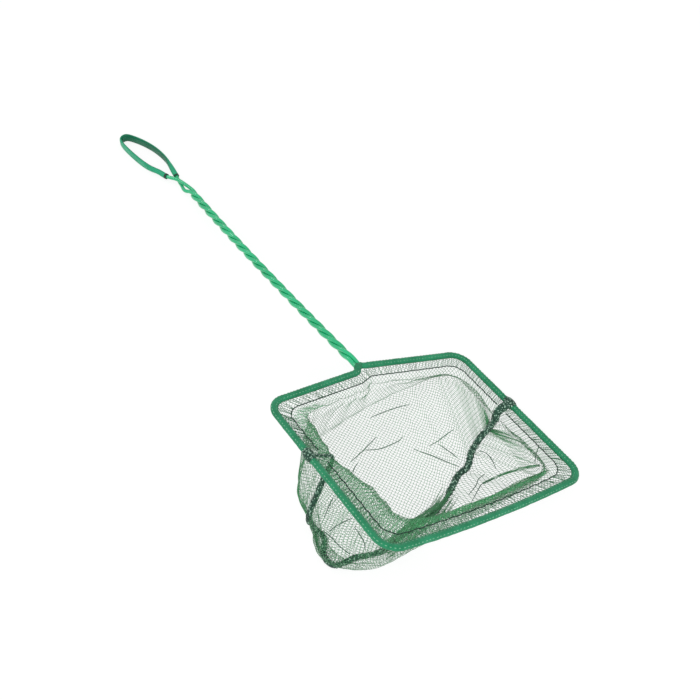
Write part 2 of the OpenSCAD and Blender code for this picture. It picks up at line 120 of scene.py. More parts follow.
# Height of the neck at which the hoop's low corner lies on the table
SLOPE_X = math.sin(HOOP_ROLL) * math.cos(HOOP_PITCH)
SLOPE_Y = math.sin(HOOP_PITCH)
NECK_H = ((NECK_OFFSET + HALF_W - CORNER_R) * SLOPE_X + (BACK_Y - CORNER_R) * SLOPE_Y
          + CORNER_R * math.hypot(SLOPE_X, SLOPE_Y) + TAPE_R)

# The solids' own twist stands a little wider, and its far end's axis lies this high
SOLID_TWIST_R = TWIST_R / math.cos(math.pi / 9)
HANDLE_END_H = 1.15 * (SOLID_TWIST_R + WIRE_R)
HANDLE_PITCH = math.asin((NECK_H - HANDLE_END_H) / TWIST_LENGTH)

# Places as shares of the hoop's width and length from the neck, from the left wrap to the
# right one: the foot of each panel, and the seam across the table
BACK_FOOT_SHARES = [(-0.505, -0.54), (-0.47, -0.37), (-0.33, -0.19), (-0.2, -0.16),
                    (-0.01, -0.14), (0.19, -0.15), (0.36, -0.19), (0.41, -0.34), (0.38, -0.55)]
FRONT_FOOT_SHARES = [(-0.505, -0.54), (-0.545, -0.745), (-0.42, -0.89), (-0.23, -0.915),
                     (-0.01, -0.93), (0.2, -0.94), (0.37, -0.93), (0.41, -0.8), (0.38, -0.55)]
SEAM_SHARES = [(-0.508, -0.575), (-0.498, -0.645), (-0.54, -0.72), (-0.525, -0.79),
               (-0.45, -0.806), (-0.36, -0.845), (-0.25, -0.835), (-0.15, -0.82),
               (-0.067, -0.81), (0.02, -0.76), (0.09, -0.71), (0.14, -0.7), (0.2, -0.64),
               (0.265, -0.6), (0.34, -0.57)]

# How far in the fold lies at the same nine places, as shares of the folds' sizes
BACK_FOLD_SHARES = (0.83, 1, 1, 1, 1, 1, 1, 1, 1)
FRONT_FOLD_SHARES = (0.83, 1.2, 1.25, 1, 1, 1, 1, 1, 1)
SEAM_DRAW_SHARE = 0.8
UPPER_WALL_SHARE = 0.55
LOWER_WALL_SHARE = 0.24
UPPER_REACH_SHARE = 0.5
LOWER_REACH_SHARE = 1.03
HEM_DROP_SHARE = 0.25

# The hanging loop as shares of its width and length from the twist's end, and its lift
LOOP_SHARES = [(0.05, 0.041, 0.28), (-0.01, 0.1, 0.35), (-0.088, 0.168, 0.35),
               (-0.18, 0.216, 0.32), (-0.365, 0.294, 0), (-0.503, 0.389, 0),
               (-0.678, 0.476, 0), (-0.8, 0.575, 0), (-0.883, 0.692, 0), (-0.934, 0.796, 0),
               (-0.955, 0.889, 0), (-0.914, 0.952, 0), (-0.765, 0.98, 0), (-0.59, 0.972, 0),
               (-0.416, 0.916, 0), (-0.222, 0.825, 0), (-0.063, 0.72, 0), (0.035, 0.61, 0),
               (0.066, 0.505, 0), (0.04, 0.412, 0), (-0.006, 0.331, 0), (-0.037, 0.258, -0.25),
               (-0.068, 0.197, -0.675), (-0.104, 0.132, -0.57), (-0.16, 0.078, -0.2),
               (-0.165, 0.036, 0.04)]
NEAR_MOUTH = 5
FAR_MOUTH = 22
WIRE_INSERT = 1
FLATTEN_RUN = 2.2

# Sleeve: its waves, which like those of the other soft pieces below are each a height, a length
# and a pace round the section, its rings for each place of the loop, the power of its flat
# section, and how far its mouths are rounded, as a share of its radius, over what stretch
SLEEVE_WAVES = [(0.03, 1 / 1.3, 0.6)]
SLEEVE_STEPS = 16
SLEEVE_POWER = 0.72
MOUTH_ROUND = 0.08
MOUTH_RUN = 0.08

# Painted shade at each mouth: a dark ring where the mouth's shadow falls, in the loop's places:
# its length on the sleeve, how far it goes past the mouth, and its rings for each place. Then
# how far it stands off the sleeve and off the bore, and how far its edges are rounded
SHADE_RING_SPAN = 0.2
SHADE_RING_OVERRUN = 0.03
SHADE_RING_STEPS = 60
SHADE_RING_PROUD = 0.00009
SHADE_RING_SEAT = 0.0001
SHADE_RING_ROUND = 0.00012

# How far the slack netting is tucked back under its fold, at nine places along each panel. Then
# how far it comes in again, its drop at either place, and the fold's height that allows them
BACK_TUCKS = (0, 0.001, 0.001, 0.001, 0.001, 0.001, 0, 0, 0)
FRONT_TUCKS = (0, 0.001, 0.0015, 0.002, 0.004, 0.004, 0.002, 0, 0)
TUCK_RETURN = 0.001
TUCK_DROP = 0.002
RETURN_DROP = 0.004
FREE_HEIGHT = 0.02

# Places across a panel, and down it from the binding to the seam. The last but one lies on the
# table, a share of the way from the foot to the seam
LAST_ACROSS = 8
LAST_PLACE = 9
FLOOR_SHARE = 0.15

# Fineness of the panels: columns across a sheet, and steps down it
SHEET_COLUMNS = 421
SHEET_STEPS = 321

# Waves along the rim: height, length, sway and start of each. The ridges have a height and their
# two sizes on the table. Then the places between which each sort rises and falls away, the share
# of the rim over which all fade out at its ends, and the wall's height at which pleats are full
PLEATS = [(0.00045, 0.019, 2.2, 0), (0.0002, 0.009, 3, 1)]
RIPPLES = [(0.00025, 0.009, 2, 0)]
WAVE_DRIFT = 0.02
RIDGES = (0.0005, 0.02, 0.014)
HEM_BAND = (0.1, 0.6, 1.2, 2.0)
WALL_BAND = (1.3, 2.6, 6.3, 7.1)
FLOOR_BAND = (6.6, 7.3, 8.8, 9.0)
END_FADE = 0.03
PLEAT_ROOM = 0.006

# Netting: half the distance between two joints of a row, a row's height, the length of a
# joint, the threads' radius, and how far they stray from their lanes
HALF_PITCH = 0.00124
ROW_PITCH = 0.00136
JOINT_LENGTH = 0.00055
NET_THREAD_R = 0.000125
THREAD_WANDER = 0.00007

# Hems: distance between the threads of the doubled netting, how far they stray, as a share of
# it, and slant, the places between which they run, their radius, the shares by which it varies,
# and their height above the panel. Then the dark thread: the distance between stitches, its
# radius between them, how much thicker it is in each, its height above the panel, the shares of
# the rim between which it runs, its place down the panel and its points
HEM_PITCH = 0.0017
HEM_STRAY = 0.3
HEM_SLANT = 0.0009
HEM_SPAN = (0.02, 1.04)
HEM_THREAD_R = 0.00013
HEM_SPREAD = (0.8, 1.3)
HEM_LIFT = 0.00035
HEM_STITCH_PITCH = 0.0023
HEM_STITCH_R = 0.00016
HEM_STITCH_SWELL = 0.00022
HEM_STITCH_LIFT = 0.0004
HEM_STITCH_SPAN = (0.02, 0.98)
HEM_STITCH_PLACE = 1.0
HEM_STITCH_POINTS = 1100

# Slack netting in layers: for each stretch its panel (back or not), its first and last share of
# the rim, the place down the panel where its threads start at either end, and the number of
# layers. Then the distance between threads, how far each slants and strays, and how much lower
# each layer lies. In places down the panel, how ragged a layer's top is, between which places it
# stays, where the slanting threads cross and the fold's edge, where they end, with the steps to
# a place
SLACK = [(True, 0.0, 0.27, 0.9, 1.4, 1), (False, 0.0, 0.34, 0.15, 0.15, 1),
         (False, 0.30, 0.76, 1.1, 1.75, 2)]
SLACK_PITCH = 0.0019
SLACK_SLANT = 0.006
SLACK_STRAY = 0.0004
SLACK_STEP = 0.0006
SLACK_RAGGED = 0.12
SLACK_TOPS = (0.1, 1.95)
SLACK_TURN = 1.5
FOLD_EDGE = 2
STEPS_A_PLACE = 24

# Netting over the seam where it goes in under the front fold, in the seam's own places, with
# half its width, its height above the seam's own, its threads and the steps along each. As
# shares of the half width, how far a thread leans and how far out it may stray. Then the most
# that a thread is cut short at either end, as a share of its length
COVER_PLACES = (5.0, 9.1)
COVER_HALF = 0.0048
COVER_HEIGHT = 0.0027
COVER_THREADS = 64
COVER_STEPS = 80
COVER_LEAN = 0.55
COVER_STRAY = 1.15
COVER_CUT = 0.25

# Creases in the netting. Each has the width of its bunch of threads, 0 for a single dark line
# that is partly bunched threads and partly painted shade, its height, None where every place
# has its own, and its places
CREASES = [
    (0, 0.0006, [(0.008, -0.142), (0.014, -0.151), (0.0195, -0.161), (0.0235, -0.168)]),
    (0, 0.0006, [(0.017, -0.1455), (0.024, -0.1456), (0.0315, -0.1445), (0.0375, -0.144)]),
    (0, 0.0006, [(0.0227, -0.1473), (0.025, -0.155), (0.0266, -0.163)]),
    (0, 0.0006, [(-0.0285, -0.1289), (-0.0172, -0.1261), (-0.0049, -0.1224)]),
    (0, 0.0006, [(-0.0322, -0.1367), (-0.0289, -0.1338), (-0.0252, -0.132)]),
    (0, 0.0004, [(-0.0003, -0.1083), (0.0147, -0.1104), (0.0262, -0.1135)]),
    (0, 0.0004, [(-0.018, -0.1256), (-0.0083, -0.1307), (0.0031, -0.1322), (0.0085, -0.1309)]),
    (0, None, [(0.0395, -0.1651, 0.0014), (0.0416, -0.1679, 0.0017), (0.0424, -0.172, 0.0017),
               (0.0418, -0.1755, 0.0016), (0.0402, -0.1813, 0.0015)]),
    (0, None, [(0.038, -0.1863, 0.0016), (0.0276, -0.1848, 0.0014), (0.0251, -0.1853, 0.0013),
               (0.02, -0.1879, 0.0013), (0.0135, -0.1915, 0.0014)]),
    (0, None, [(0.0324, -0.1805, 0.0013), (0.0275, -0.1808, 0.0013), (0.0229, -0.1837, 0.0013),
               (0.0153, -0.1865, 0.0014)]),
    (0, 0.004, [(0.0711, -0.1833), (0.0648, -0.1877), (0.0602, -0.1922)]),
    (0.0014, None, [(0.0632, -0.1932, 0.0014), (0.0559, -0.1904, 0.0015),
                    (0.0483, -0.1882, 0.0016), (0.038, -0.186, 0.0015),
                    (0.0276, -0.1848, 0.0013)]),
    (0.0014, 0.004, [(0.0277, -0.1963), (0.0389, -0.1966), (0.051, -0.1981), (0.0642, -0.2005)]),
    (0, None, [(-0.0582, -0.1758, 0.0293), (-0.0632, -0.1736, 0.0262), (-0.068, -0.1722, 0.0234),
               (-0.0709, -0.1718, 0.0212)]),
    (0, None, [(-0.0726, -0.1684, 0.0194), (-0.0713, -0.1752, 0.0195), (-0.0703, -0.1823, 0.0193),
               (-0.0678, -0.1875, 0.0169)]),
    (0, None, [(-0.0601, -0.1802, 0.028), (-0.0596, -0.1849, 0.0257), (-0.0597, -0.1889, 0.0242),
               (-0.0606, -0.1917, 0.0193)]),
    (0, None, [(-0.06, -0.1588, 0.0281), (-0.0639, -0.1606, 0.0253), (-0.0686, -0.163, 0.022)]),
]

# Points on a crease, how far it wavers, a line's radius at its ends and how much thicker it is
# halfway. Then a bunch's threads, how far each strays, as a share of the width, and how high
CREASE_STEPS = 40
CREASE_WAVER = 0.0002
CREASE_END_R = 0.00008
CREASE_SWELL = 0.0002
BUNCH_THREADS = 9
BUNCH_STRAY = 0.35
BUNCH_RISE = 0.0003

# Sides round each kind of section
COAT_SIDES = 18
SLEEVE_SIDES = 28
TAPE_SIDES = 24
STITCH_SIDES = 6
ROLL_SIDES = 14
WRAP_SIDES = 22
WINDING_SIDES = 5
NET_SIDES = 3
BUNCH_SIDES = 4

# Coats: distance between rings, and how far a cut end is rounded
COAT_SPACING = 0.0008
CUT_ROUND = 0.00012

# Binding: distance between rings, how far the cloth lies inside its solid and off the wire, the
# lip where the netting leaves it with half its angle, how far a cut end is rounded, over what
# length, and its waves
TAPE_SPACING = 0.0007
TAPE_SINK = 0.0001
TAPE_SEAT = 0.00004
TAPE_LIP = 0.0009
TAPE_LIP_ANGLE = 0.42
TAPE_END_ROUND = 0.0002
TAPE_END_RUN = 0.0004
TAPE_WAVES = [(0.0001, 0.004, 0.8), (0.00006, 0.0013, 1.4)]

# Points of a neck bend at which the back bindings and the neck's loose cloth start
BINDING_START = 8
NECK_CLOTH_START = 15

# Running stitch: distance between points of its line, the angles of its two rows up from the
# outer side in degrees, the distance between stitches and how far one strays, as a share of it,
# a stitch's length, the shares by which that varies, its radius, the depth of its ends and the
# rise of its middle
RIM_SPACING = 0.0004
STITCH_ANGLES = (42, 138)
STITCH_PITCH = 0.0023
STITCH_STRAY = 0.12
STITCH_LENGTH = 0.0013
STITCH_SPREAD = (0.85, 1.15)
STITCH_R = 0.00026
STITCH_SINK = 0.00014
STITCH_ARCH = 0.00012

# Seam: distance between rings, the roll's and the threads' shares of its radius, the distance
# between a thread's rings, how far in it starts, the height and length of its waves, the length
# of a turn of each thread, the threads' radius and the roll's waves
SEAM_SPACING = 0.0005
ROLL_SHARE = 0.84
WINDING_SHARE = 0.96
WINDING_SPACING = 0.0004
WINDING_INSET = 0.003
WINDING_WAVES = (0.08, 0.002)
WINDING_TURNS = (0.0031, 0.0043)
WINDING_R = 0.00019
SEAM_WAVES = [(0.16, 0.0045, 0.7), (0.1, 0.0014, 1.3)]

# The seam's thickness as shares of its full one: at its left end, on its first half, where it
# is covered and at its right end, with the lengths from each end over which it changes, and the
# runs over which it gets thin and thick again at the cover's ends
LEFT_END_SHARE = 0.5
FIRST_HALF_SHARE = 0.85
COVERED_SHARE = 0.7
RIGHT_END_SHARE = 1.35
LEFT_END_RUN = (0.012, 0.024)
MIDDLE_RUN = (0.5, 0.7)
RIGHT_END_RUN = (0.022, 0.004)
COVERED_RUNS = (0.01, 0.008)

# Seam wraps: rings along one, their ends' share of the full thickness, and their thread's
# points, its rounds, its radius, and the shares of the wrap's length where it starts and ends
WRAP_RINGS = 33
WRAP_END_SHARE = 0.45
WRAP_THREAD_POINTS = 260
WRAP_ROUNDS = 4.5
WRAP_THREAD_R = 0.0002
WRAP_THREAD_SPAN = (0.15, 0.85)
WRAP_WAVES = [(0.12, 1 / 6, 0.9)]

# Neck cloth: how far its middle stands back, how much wider than the binding its radius is,
# and its ends' share of that radius
NECK_CLOTH_BOW = 0.0009
NECK_CLOTH_EXTRA = 0.0004
NECK_CLOTH_END_SHARE = 0.35
NECK_CLOTH_WAVES = [(0.13, 1 / 2.6, 1.1)]

# Least heights above the table of the seam and of the net's threads
SEAM_LIFT = 0.00002
THREAD_LIFT = 0.00006

# Floor: half its side, how white the object sees it, how white its shadows' part is for the
# camera, and what it glows with there. Then the sky's strength on the object
FLOOR_HALF = 3.0
PAPER_WHITE = 0.8
SHADOW_WHITE = 0.2
PAPER_GLOW = 0.86
SKY_STRENGTH = 0.6

# Lamps: place, watts and side of each, and the place that all of them face
LAMPS = {"key_lamp": ((-0.6, -0.75, 0.65), 3.4, 0.4), "fill_lamp": ((0.8, -0.6, 0.9), 1.4, 0.9),
         "back_lamp": ((-0.45, 1.0, 1.1), 2.2, 0.3)}
LAMP_AIM = (0.0, -0.05, 0.0)

# The photograph's camera: its place, its heading over the table, how far it looks down, and its
# lens on a sensor 36 mm wide
CAMERA_PLACE = (-0.22047, -0.41723, 0.5171)
CAMERA_HEADING = (0.553, 0.832, 0.0)
CAMERA_PITCH = math.radians(50)
SENSOR_MM = 36
LENS_MM = 53.414


def smooth_share(u):
    """Three u squared less two u cubed, for u kept from 0 to 1."""
    u = np.clip(u, 0.0, 1.0)
    return u * u * (3 - 2 * u)


def mix(a, b, u):
    """The value a share u of the way from a to b."""
    return a + (b - a) * u


def unit(v):
    """Each vector divided by its own length."""
    return v / np.maximum(np.linalg.norm(v, axis=-1, keepdims=True), 1e-12)


def curve_at(places, u):
    """Smooth curve through places 0, 1, 2 and so on along the first axis: between two places
    it is the cubic whose slope at each is half the step between that place's neighbours."""
    places = np.asarray(places, float)
    last = len(places) - 1
    u = np.clip(np.atleast_1d(np.asarray(u, float)), 0, last)
    i = np.minimum(u.astype(int), last - 1)
    f = (u - i).reshape([-1] + [1] * (places.ndim - 1))
    a, b = places[np.maximum(i - 1, 0)], places[i]
    c, d = places[i + 1], places[np.minimum(i + 2, last)]
    return (b + f * (c - a) / 2 + f ** 2 * (a - 2.5 * b + 2 * c - d / 2)
            + f ** 3 * ((d - a) / 2 + 1.5 * (b - c)))


def turns(sides, first=0.0):
    """Angles of a section's sides, evenly round, with the first so many sides past zero."""
    return (np.arange(sides) + first) * 2 * math.pi / sides


def around(t):
    """The cosine and the sine of each angle, as the two numbers of a place."""
    return np.stack([np.cos(t), np.sin(t)], axis=-1)


def arc(x, y, start, end):
    """A corner of the hoop about (x, y), from one angle to another in degrees."""
    return (x, y) + CORNER_R * around(np.radians(np.linspace(start, end, CORNER_STEPS + 1)))


def with_height(points, height):
    """Places in two numbers with a height, the same for all or one for each, as a third."""
    height = np.broadcast_to(height, points.shape[:-1])
    return np.concatenate([points, height[..., None]], axis=-1)


def on_table(shares, u):
    """Places u of a smooth line whose places are shares of the hoop's width and length."""
    return curve_at(shares, u) * (HOOP_WIDTH, HOOP_LENGTH)


def run_lengths(path):
    """Length along a path from its first point to each of its points."""
    steps = np.linalg.norm(np.diff(path, axis=0), axis=1)
    return np.concatenate([[0.0], np.cumsum(steps)])


def between(sums, rows, wanted):
    """Rows of numbers that stand at given lengths, blended evenly at the wanted lengths."""
    return np.stack([np.interp(wanted, sums, column) for column in rows.T], axis=-1)


def at_lengths(path, wanted):
    """Points of a path at the wanted lengths along it."""
    return between(run_lengths(path), path, wanted)


def evenly(path, spacing):
    """The same path with its points about a spacing apart."""
    total = run_lengths(path)[-1]
    return at_lengths(path, np.linspace(0, total, max(2, int(round(total / spacing)) + 1)))


def eased(path, rounds=3):
    """The path with each inner point moved halfway to the middle of its two neighbours."""
    for _ in range(rounds):
        path = np.concatenate([path[:1], path[1:-1] / 2 + (path[:-2] + path[2:]) / 4, path[-1:]])
    return path


def soft_noise(x, y, seed):
    """Smooth random values from -1 to 1: random numbers on a square grid of side 1, blended
    with the smooth share between the grid's lines. The grid repeats every 64 steps."""
    table = np.random.default_rng(seed).uniform(-1, 1, (64, 64))
    i, j = np.floor(x).astype(int), np.floor(y).astype(int)
    u, v = smooth_share(x - i), smooth_share(y - j)
    low = mix(table[i % 64, j % 64], table[(i + 1) % 64, j % 64], u)
    high = mix(table[i % 64, (j + 1) % 64], table[(i + 1) % 64, (j + 1) % 64], u)
    return mix(low, high, v)


def line_noise(x, seed, row=0):
    """Soft noise along one row of its grid."""
    return soft_noise(x, np.full_like(x, row), seed)


def uneven(along, t, seed, waves):
    """Soft noise over the lengths along a piece and the angles t of its section, as the sum of
    its waves."""
    return sum(height * soft_noise(along[:, None] / length, t[None] * pace, seed + i)
               for i, (height, length, pace) in enumerate(waves))


def handle_from_neck(p):
    """Turns the handle's straight axis down by its pitch and round by its yaw, raises it to
    the neck, and bends its middle to the left as a parabola."""
    p = np.atleast_2d(p)
    u = p[:, 1] / TWIST_LENGTH
    x = p[:, 0] - 4 * HANDLE_BOW * u * (1 - u)
    y = p[:, 1] * math.cos(HANDLE_PITCH) + p[:, 2] * math.sin(HANDLE_PITCH)
    z = p[:, 2] * math.cos(HANDLE_PITCH) - p[:, 1] * math.sin(HANDLE_PITCH) + NECK_H
    return np.stack([x * math.cos(HANDLE_YAW) - y * math.sin(HANDLE_YAW),
                     x * math.sin(HANDLE_YAW) + y * math.cos(HANDLE_YAW), z], axis=1)


def hoop_from_neck(p):
    """Rolls a point of the hoop's own plane down to the right and pitches it down toward the
    handle, about the neck, and raises it to the neck. A third number is its height off the
    plane."""
    p = np.asarray(p, float)
    x_flat, y_flat = p[..., 0], p[..., 1]
    z_flat = p[..., 2] if p.shape[-1] == 3 else np.zeros_like(x_flat)
    x = x_flat * math.cos(HOOP_ROLL) + z_flat * math.sin(HOOP_ROLL)
    z = z_flat * math.cos(HOOP_ROLL) - x_flat * math.sin(HOOP_ROLL)
    return np.stack([x, y_flat * math.cos(HOOP_PITCH) + z * math.sin(HOOP_PITCH),
                     z * math.cos(HOOP_PITCH) - y_flat * math.sin(HOOP_PITCH) + NECK_H], axis=-1)


HANDLE_END = handle_from_neck([0, TWIST_LENGTH, 0])[0]

# The origin is under the middle of the whole net
HIGH_X = (NECK_OFFSET + HALF_W) * math.cos(HOOP_ROLL) + TAPE_R
LOW_X = min(x for x, _ in SEAM_SHARES) * HOOP_WIDTH - SEAM_R
HIGH_Y = HANDLE_END[1] + max(s[1] for s in LOOP_SHARES) * LOOP_LENGTH + FLAT_HALF
LOW_Y = (FRONT_Y - FRONT_BOW) * math.cos(HOOP_PITCH) - TAPE_R
NECK_PLACE = -np.array([(HIGH_X + LOW_X) / 2, (HIGH_Y + LOW_Y) / 2, 0.0])


def rim_x(side):
    """Middle of the left (-1) or right (1) side of the rim."""
    return NECK_OFFSET + side * HALF_W


def wrap_y(side):
    """Place of a seam wrap's middle down its side of the hoop."""
    return BACK_Y + TAPE_R - (LEFT_WRAP_AT if side < 0 else RIGHT_WRAP_AT)


def neck_bend(side):
    """Arc by which a leg turns out of the hoop, from the handle's direction to the slope of
    the back side, which runs evenly from there down to the corner."""
    r = LEFT_BEND_R if side < 0 else RIGHT_BEND_R
    lift = 0 if side < 0 else RIGHT_LIFT
    slope = math.atan((lift - r - BACK_Y) / (abs(rim_x(side)) - CORNER_R - LEG_X - r))
    a = -(math.pi / 2 - slope) * np.linspace(0, 1, NECK_STEPS + 1)
    return np.stack([side * (LEG_X + r - r * np.cos(a)), lift + r * np.sin(a)], axis=1)


def back_half(side):
    """Back corner of one side of the rim and the straight down to that side's wrap."""
    x = rim_x(side) - side * CORNER_R
    corner = arc(x, BACK_Y - CORNER_R, 90, 180 if side < 0 else 0)
    return np.concatenate([corner, [[rim_x(side), wrap_y(side)]]])


def front_half():
    """The rim from the left wrap round the front to the right one. Its front side is pushed
    out as a parabola, fully at the front and not at the sides' middle."""
    left, right = rim_x(-1) + CORNER_R, rim_x(1) - CORNER_R
    y = FRONT_Y + CORNER_R
    path = np.concatenate([
        np.linspace((rim_x(-1), wrap_y(-1)), (rim_x(-1), y), SIDE_STEPS)[:-1],
        arc(left, y, 180, 270),
        np.linspace((left, FRONT_Y), (right, FRONT_Y), FRONT_STEPS)[1:-1],
        arc(right, y, 270, 360),
        np.linspace((rim_x(1), y), (rim_x(1), wrap_y(1)), SIDE_STEPS)[1:]])
    bow = FRONT_BOW * (1 - ((path[:, 0] - NECK_OFFSET) / HALF_W) ** 2)
    path[:, 1] -= bow * np.clip((MID_Y - path[:, 1]) / HALF_L, 0, 1)
    return path


RIM_FRONT = front_half()
RIM_BACK = np.concatenate([back_half(-1)[::-1], neck_bend(-1)[-1:], neck_bend(1)[-1:],
                           back_half(1)])


def strand(angle, close_angle, start_r, y):
    """One strand of the twist at lengths y along its axis: it closes up from its starting
    distance and angle to the twist's radius, and winds to the left, a turn each pitch."""
    w = smooth_share(y / LEAD_LENGTH)
    a = np.radians(mix(angle, close_angle, w)) - HOOP_ROLL + 2 * math.pi * y / TWIST_PITCH
    r = mix(start_r, TWIST_R, w)
    return handle_from_neck(np.stack([r * np.cos(a), y, r * np.sin(a)], axis=1))


def left_leg(y):
    """The left leg's strand at lengths y along the handle's axis."""
    return strand(180, 90, LEG_X, y)


def right_leg(y):
    """The right leg's strand at lengths y along the handle's axis."""
    return strand(0, -30, LEG_X, y)


def loop_run(start, end, per_place=10):
    """Points of the hanging loop's curve from one of its places to another. Its first place
    is the right leg's end and its last one the left leg's end."""
    tip = np.array([TWIST_LENGTH])
    s = np.array(LOOP_SHARES)
    bend = np.stack([HANDLE_END[0] + s[:, 0] * LOOP_WIDTH, HANDLE_END[1] + s[:, 1] * LOOP_LENGTH,
                     BAND_HALF + s[:, 2] * (WIRE_D + STRAND_GAP)], axis=1)
    places = np.concatenate([right_leg(tip), bend, left_leg(tip)])
    return curve_at(places, np.linspace(start, end, int((end - start) * per_place) + 1))


def whole_wire():
    """The wire from inside the far mouth down the left leg, round the hoop, up the right leg
    and into the near mouth."""
    y = np.linspace(0, TWIST_LENGTH, TWIST_STEPS)[1:-1]
    last = len(LOOP_SHARES) + 1
    return np.concatenate([
        loop_run(FAR_MOUTH - WIRE_INSERT, last), left_leg(y[::-1]),
        hoop_from_neck(neck_bend(-1)), hoop_from_neck(back_half(-1)),
        hoop_from_neck(RIM_FRONT[1:-1]), hoop_from_neck(back_half(1)[::-1]),
        hoop_from_neck(neck_bend(1)[::-1]), right_leg(y), loop_run(0, NEAR_MOUTH + WIRE_INSERT)])


def make_piece(name, shape, material, replaced=(), laid=False):
    """A smooth shaded mesh piece, from its points measured from the neck, its triangles and
    their UV corners, which it keeps where it is laid. It has its material, hides the CAD nodes
    that it stands for, and rides on the one body."""
    points, tris, uv = shape
    used, tris = np.unique(tris, return_inverse=True)
    tris = tris.reshape(-1, 3)
    points = points[used] + NECK_PLACE
    mesh = bpy.data.meshes.new(name)
    mesh.vertices.add(len(points))
    mesh.vertices.foreach_set("co", points.astype(np.float32).ravel())
    mesh.loops.add(tris.size)
    mesh.loops.foreach_set("vertex_index", tris.astype(np.int32).ravel())
    mesh.polygons.add(len(tris))
    mesh.polygons.foreach_set("loop_start", np.arange(0, tris.size, 3, dtype=np.int32))
    mesh.polygons.foreach_set("use_smooth", np.ones(len(tris), bool))
    if laid:
        layer = mesh.uv_layers.new(name="lay")
        layer.data.foreach_set("uv", np.asarray(uv, np.float32).ravel())
    mesh.update(calc_edges=True)
    mesh.materials.append(material)
    piece = bpy.data.objects.new(name, mesh)
    bpy.context.scene.collection.objects.link(piece)
    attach(piece, "root")
    if replaced:
        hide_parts(*replaced)
    return piece


def level_frames(path):
    """Tangent, across and up at each point of a path that never stands upright. Up is the
    part of the vertical that is square to the tangent, and across is tangent times up."""
    tangent = unit(np.gradient(path, axis=0))
    up = unit(np.array([0.0, 0.0, 1.0]) - tangent[:, 2:] * tangent)
    return tangent, np.cross(tangent, up), up


def carried_frames(path, first_up):
    """Tangent, across and up at each point of any path. Each up is the last one with its part
    along the new tangent taken away, so the section doesn't spin."""
    tangent = unit(np.gradient(path, axis=0))
    up = np.empty_like(path)
    carried = np.asarray(first_up, float)
    for i, t in enumerate(tangent):
        carried = unit(carried - (carried @ t) * t)
        up[i] = carried
    return tangent, np.cross(tangent, up), up


def rings_round(path, frames, offsets):
    """Rings of points (n, k, 3) about a path. offsets (n, k, 2) are across and up from it."""
    _, across, up = frames
    return (path[:, None] + offsets[..., :1] * across[:, None] + offsets[..., 1:] * up[:, None])


def circles(radii, sides):
    """The offsets of a circle with so many sides, for each radius or for one that all share."""
    return np.asarray(radii, float).reshape(-1, 1, 1) * around(turns(sides, 0.5))


def skin(rings, wrapped=False):
    """Triangles over rings (n, k, 3), each joined to the next one. A wrapped skin also joins
    the last ring to the first, and any other closes its two ends to their middles. Returns
    points, triangles and UV corners: U is the length along, V the length round."""
    n, k = rings.shape[:2]
    i, j = np.meshgrid(np.arange(n if wrapped else n - 1), np.arange(k), indexing="ij")
    nxt, side = (i + 1) % n, (j + 1) % k
    a, b, c, d = i * k + j, nxt * k + j, nxt * k + side, i * k + side
    tris = np.stack([a, b, c, a, c, d], axis=-1).reshape(-1, 3)
    middles = rings.mean(axis=1)
    u = run_lengths(np.concatenate([middles, middles[:1]]))
    girth = np.linalg.norm(np.roll(rings, -1, axis=1) - rings, axis=2).max(axis=0)
    v = np.concatenate([[0.0], np.cumsum(girth)])
    corner = [np.stack([u[i + p], v[j + q]], axis=-1)
              for p, q in ((0, 0), (1, 0), (1, 1), (0, 0), (1, 1), (0, 1))]
    uv = np.stack(corner, axis=2).reshape(-1, 2)
    points = rings.reshape(-1, 3)
    if not wrapped:
        points = np.concatenate([points, middles[:1], middles[-1:]])
        j = np.arange(k)
        head = np.stack([np.full(k, n * k), j, (j + 1) % k], axis=1)
        end = (n - 1) * k
        tail = np.stack([np.full(k, n * k + 1), end + (j + 1) % k, end + j], axis=1)
        tris = np.concatenate([tris, head, tail])
        uv = np.concatenate([uv, np.zeros((6 * k, 2))])
    return points, tris, uv


def joined(parts):
    """Several skins as one: their points, triangles and UV corners one after the other."""
    starts = np.cumsum([0] + [len(p[0]) for p in parts[:-1]])
    return (np.concatenate([p[0] for p in parts]),
            np.concatenate([p[1] + s for p, s in zip(parts, starts)]),
            np.concatenate([p[2] for p in parts]))


def rod(path, radii, sides, frames=None):
    """Closed tube about a path, with one radius or one for each point."""
    return skin(rings_round(path, frames or level_frames(path), circles(radii, sides)))


def hollow(path, frames, outer, inner):
    """Pipe about a path from its outer and inner offsets, closed by its two annular ends."""
    rings = np.concatenate([rings_round(path, frames, outer),
                            rings_round(path, frames, inner)[::-1]])
    return skin(rings, wrapped=True)


def node_tools(tree):
    """Two short calls for one node tree. The first adds a node with its settings and with its
    inputs, by number and by name, each a value or another node's output. The second adds a
    maths node for its terms and gives the node's output."""
    def feed(socket, value):
        if isinstance(value, bpy.types.NodeSocket):
            tree.links.new(value, socket)
        else:
            socket.default_value = value

    def add(kind, settings=None, numbered=None, **named):
        made = tree.nodes.new(kind)
        for key, value in (settings or {}).items():
            setattr(made, key, value)
        for number, value in (numbered or {}).items():
            feed(made.inputs[number], value)
        for key, value in named.items():
            feed(made.inputs[key.replace("_", " ")], value)
        return made

    def maths(operation, *terms):
        return add("ShaderNodeMath", {"operation": operation}, dict(enumerate(terms))).outputs[0]
    return add, maths


def tinted(add, colour, tint, share, blend="MIX"):
    """Output of a colour blended with a tint by a share. Inputs 6 and 7 are the two colours."""
    return add("ShaderNodeMix", {"data_type": "RGBA", "blend_type": blend},
               {6: colour, 7: tint}, Factor=share).outputs[2]


COLOUR = "NodeSocketColor"
NUMBER = "NodeSocketFloat"


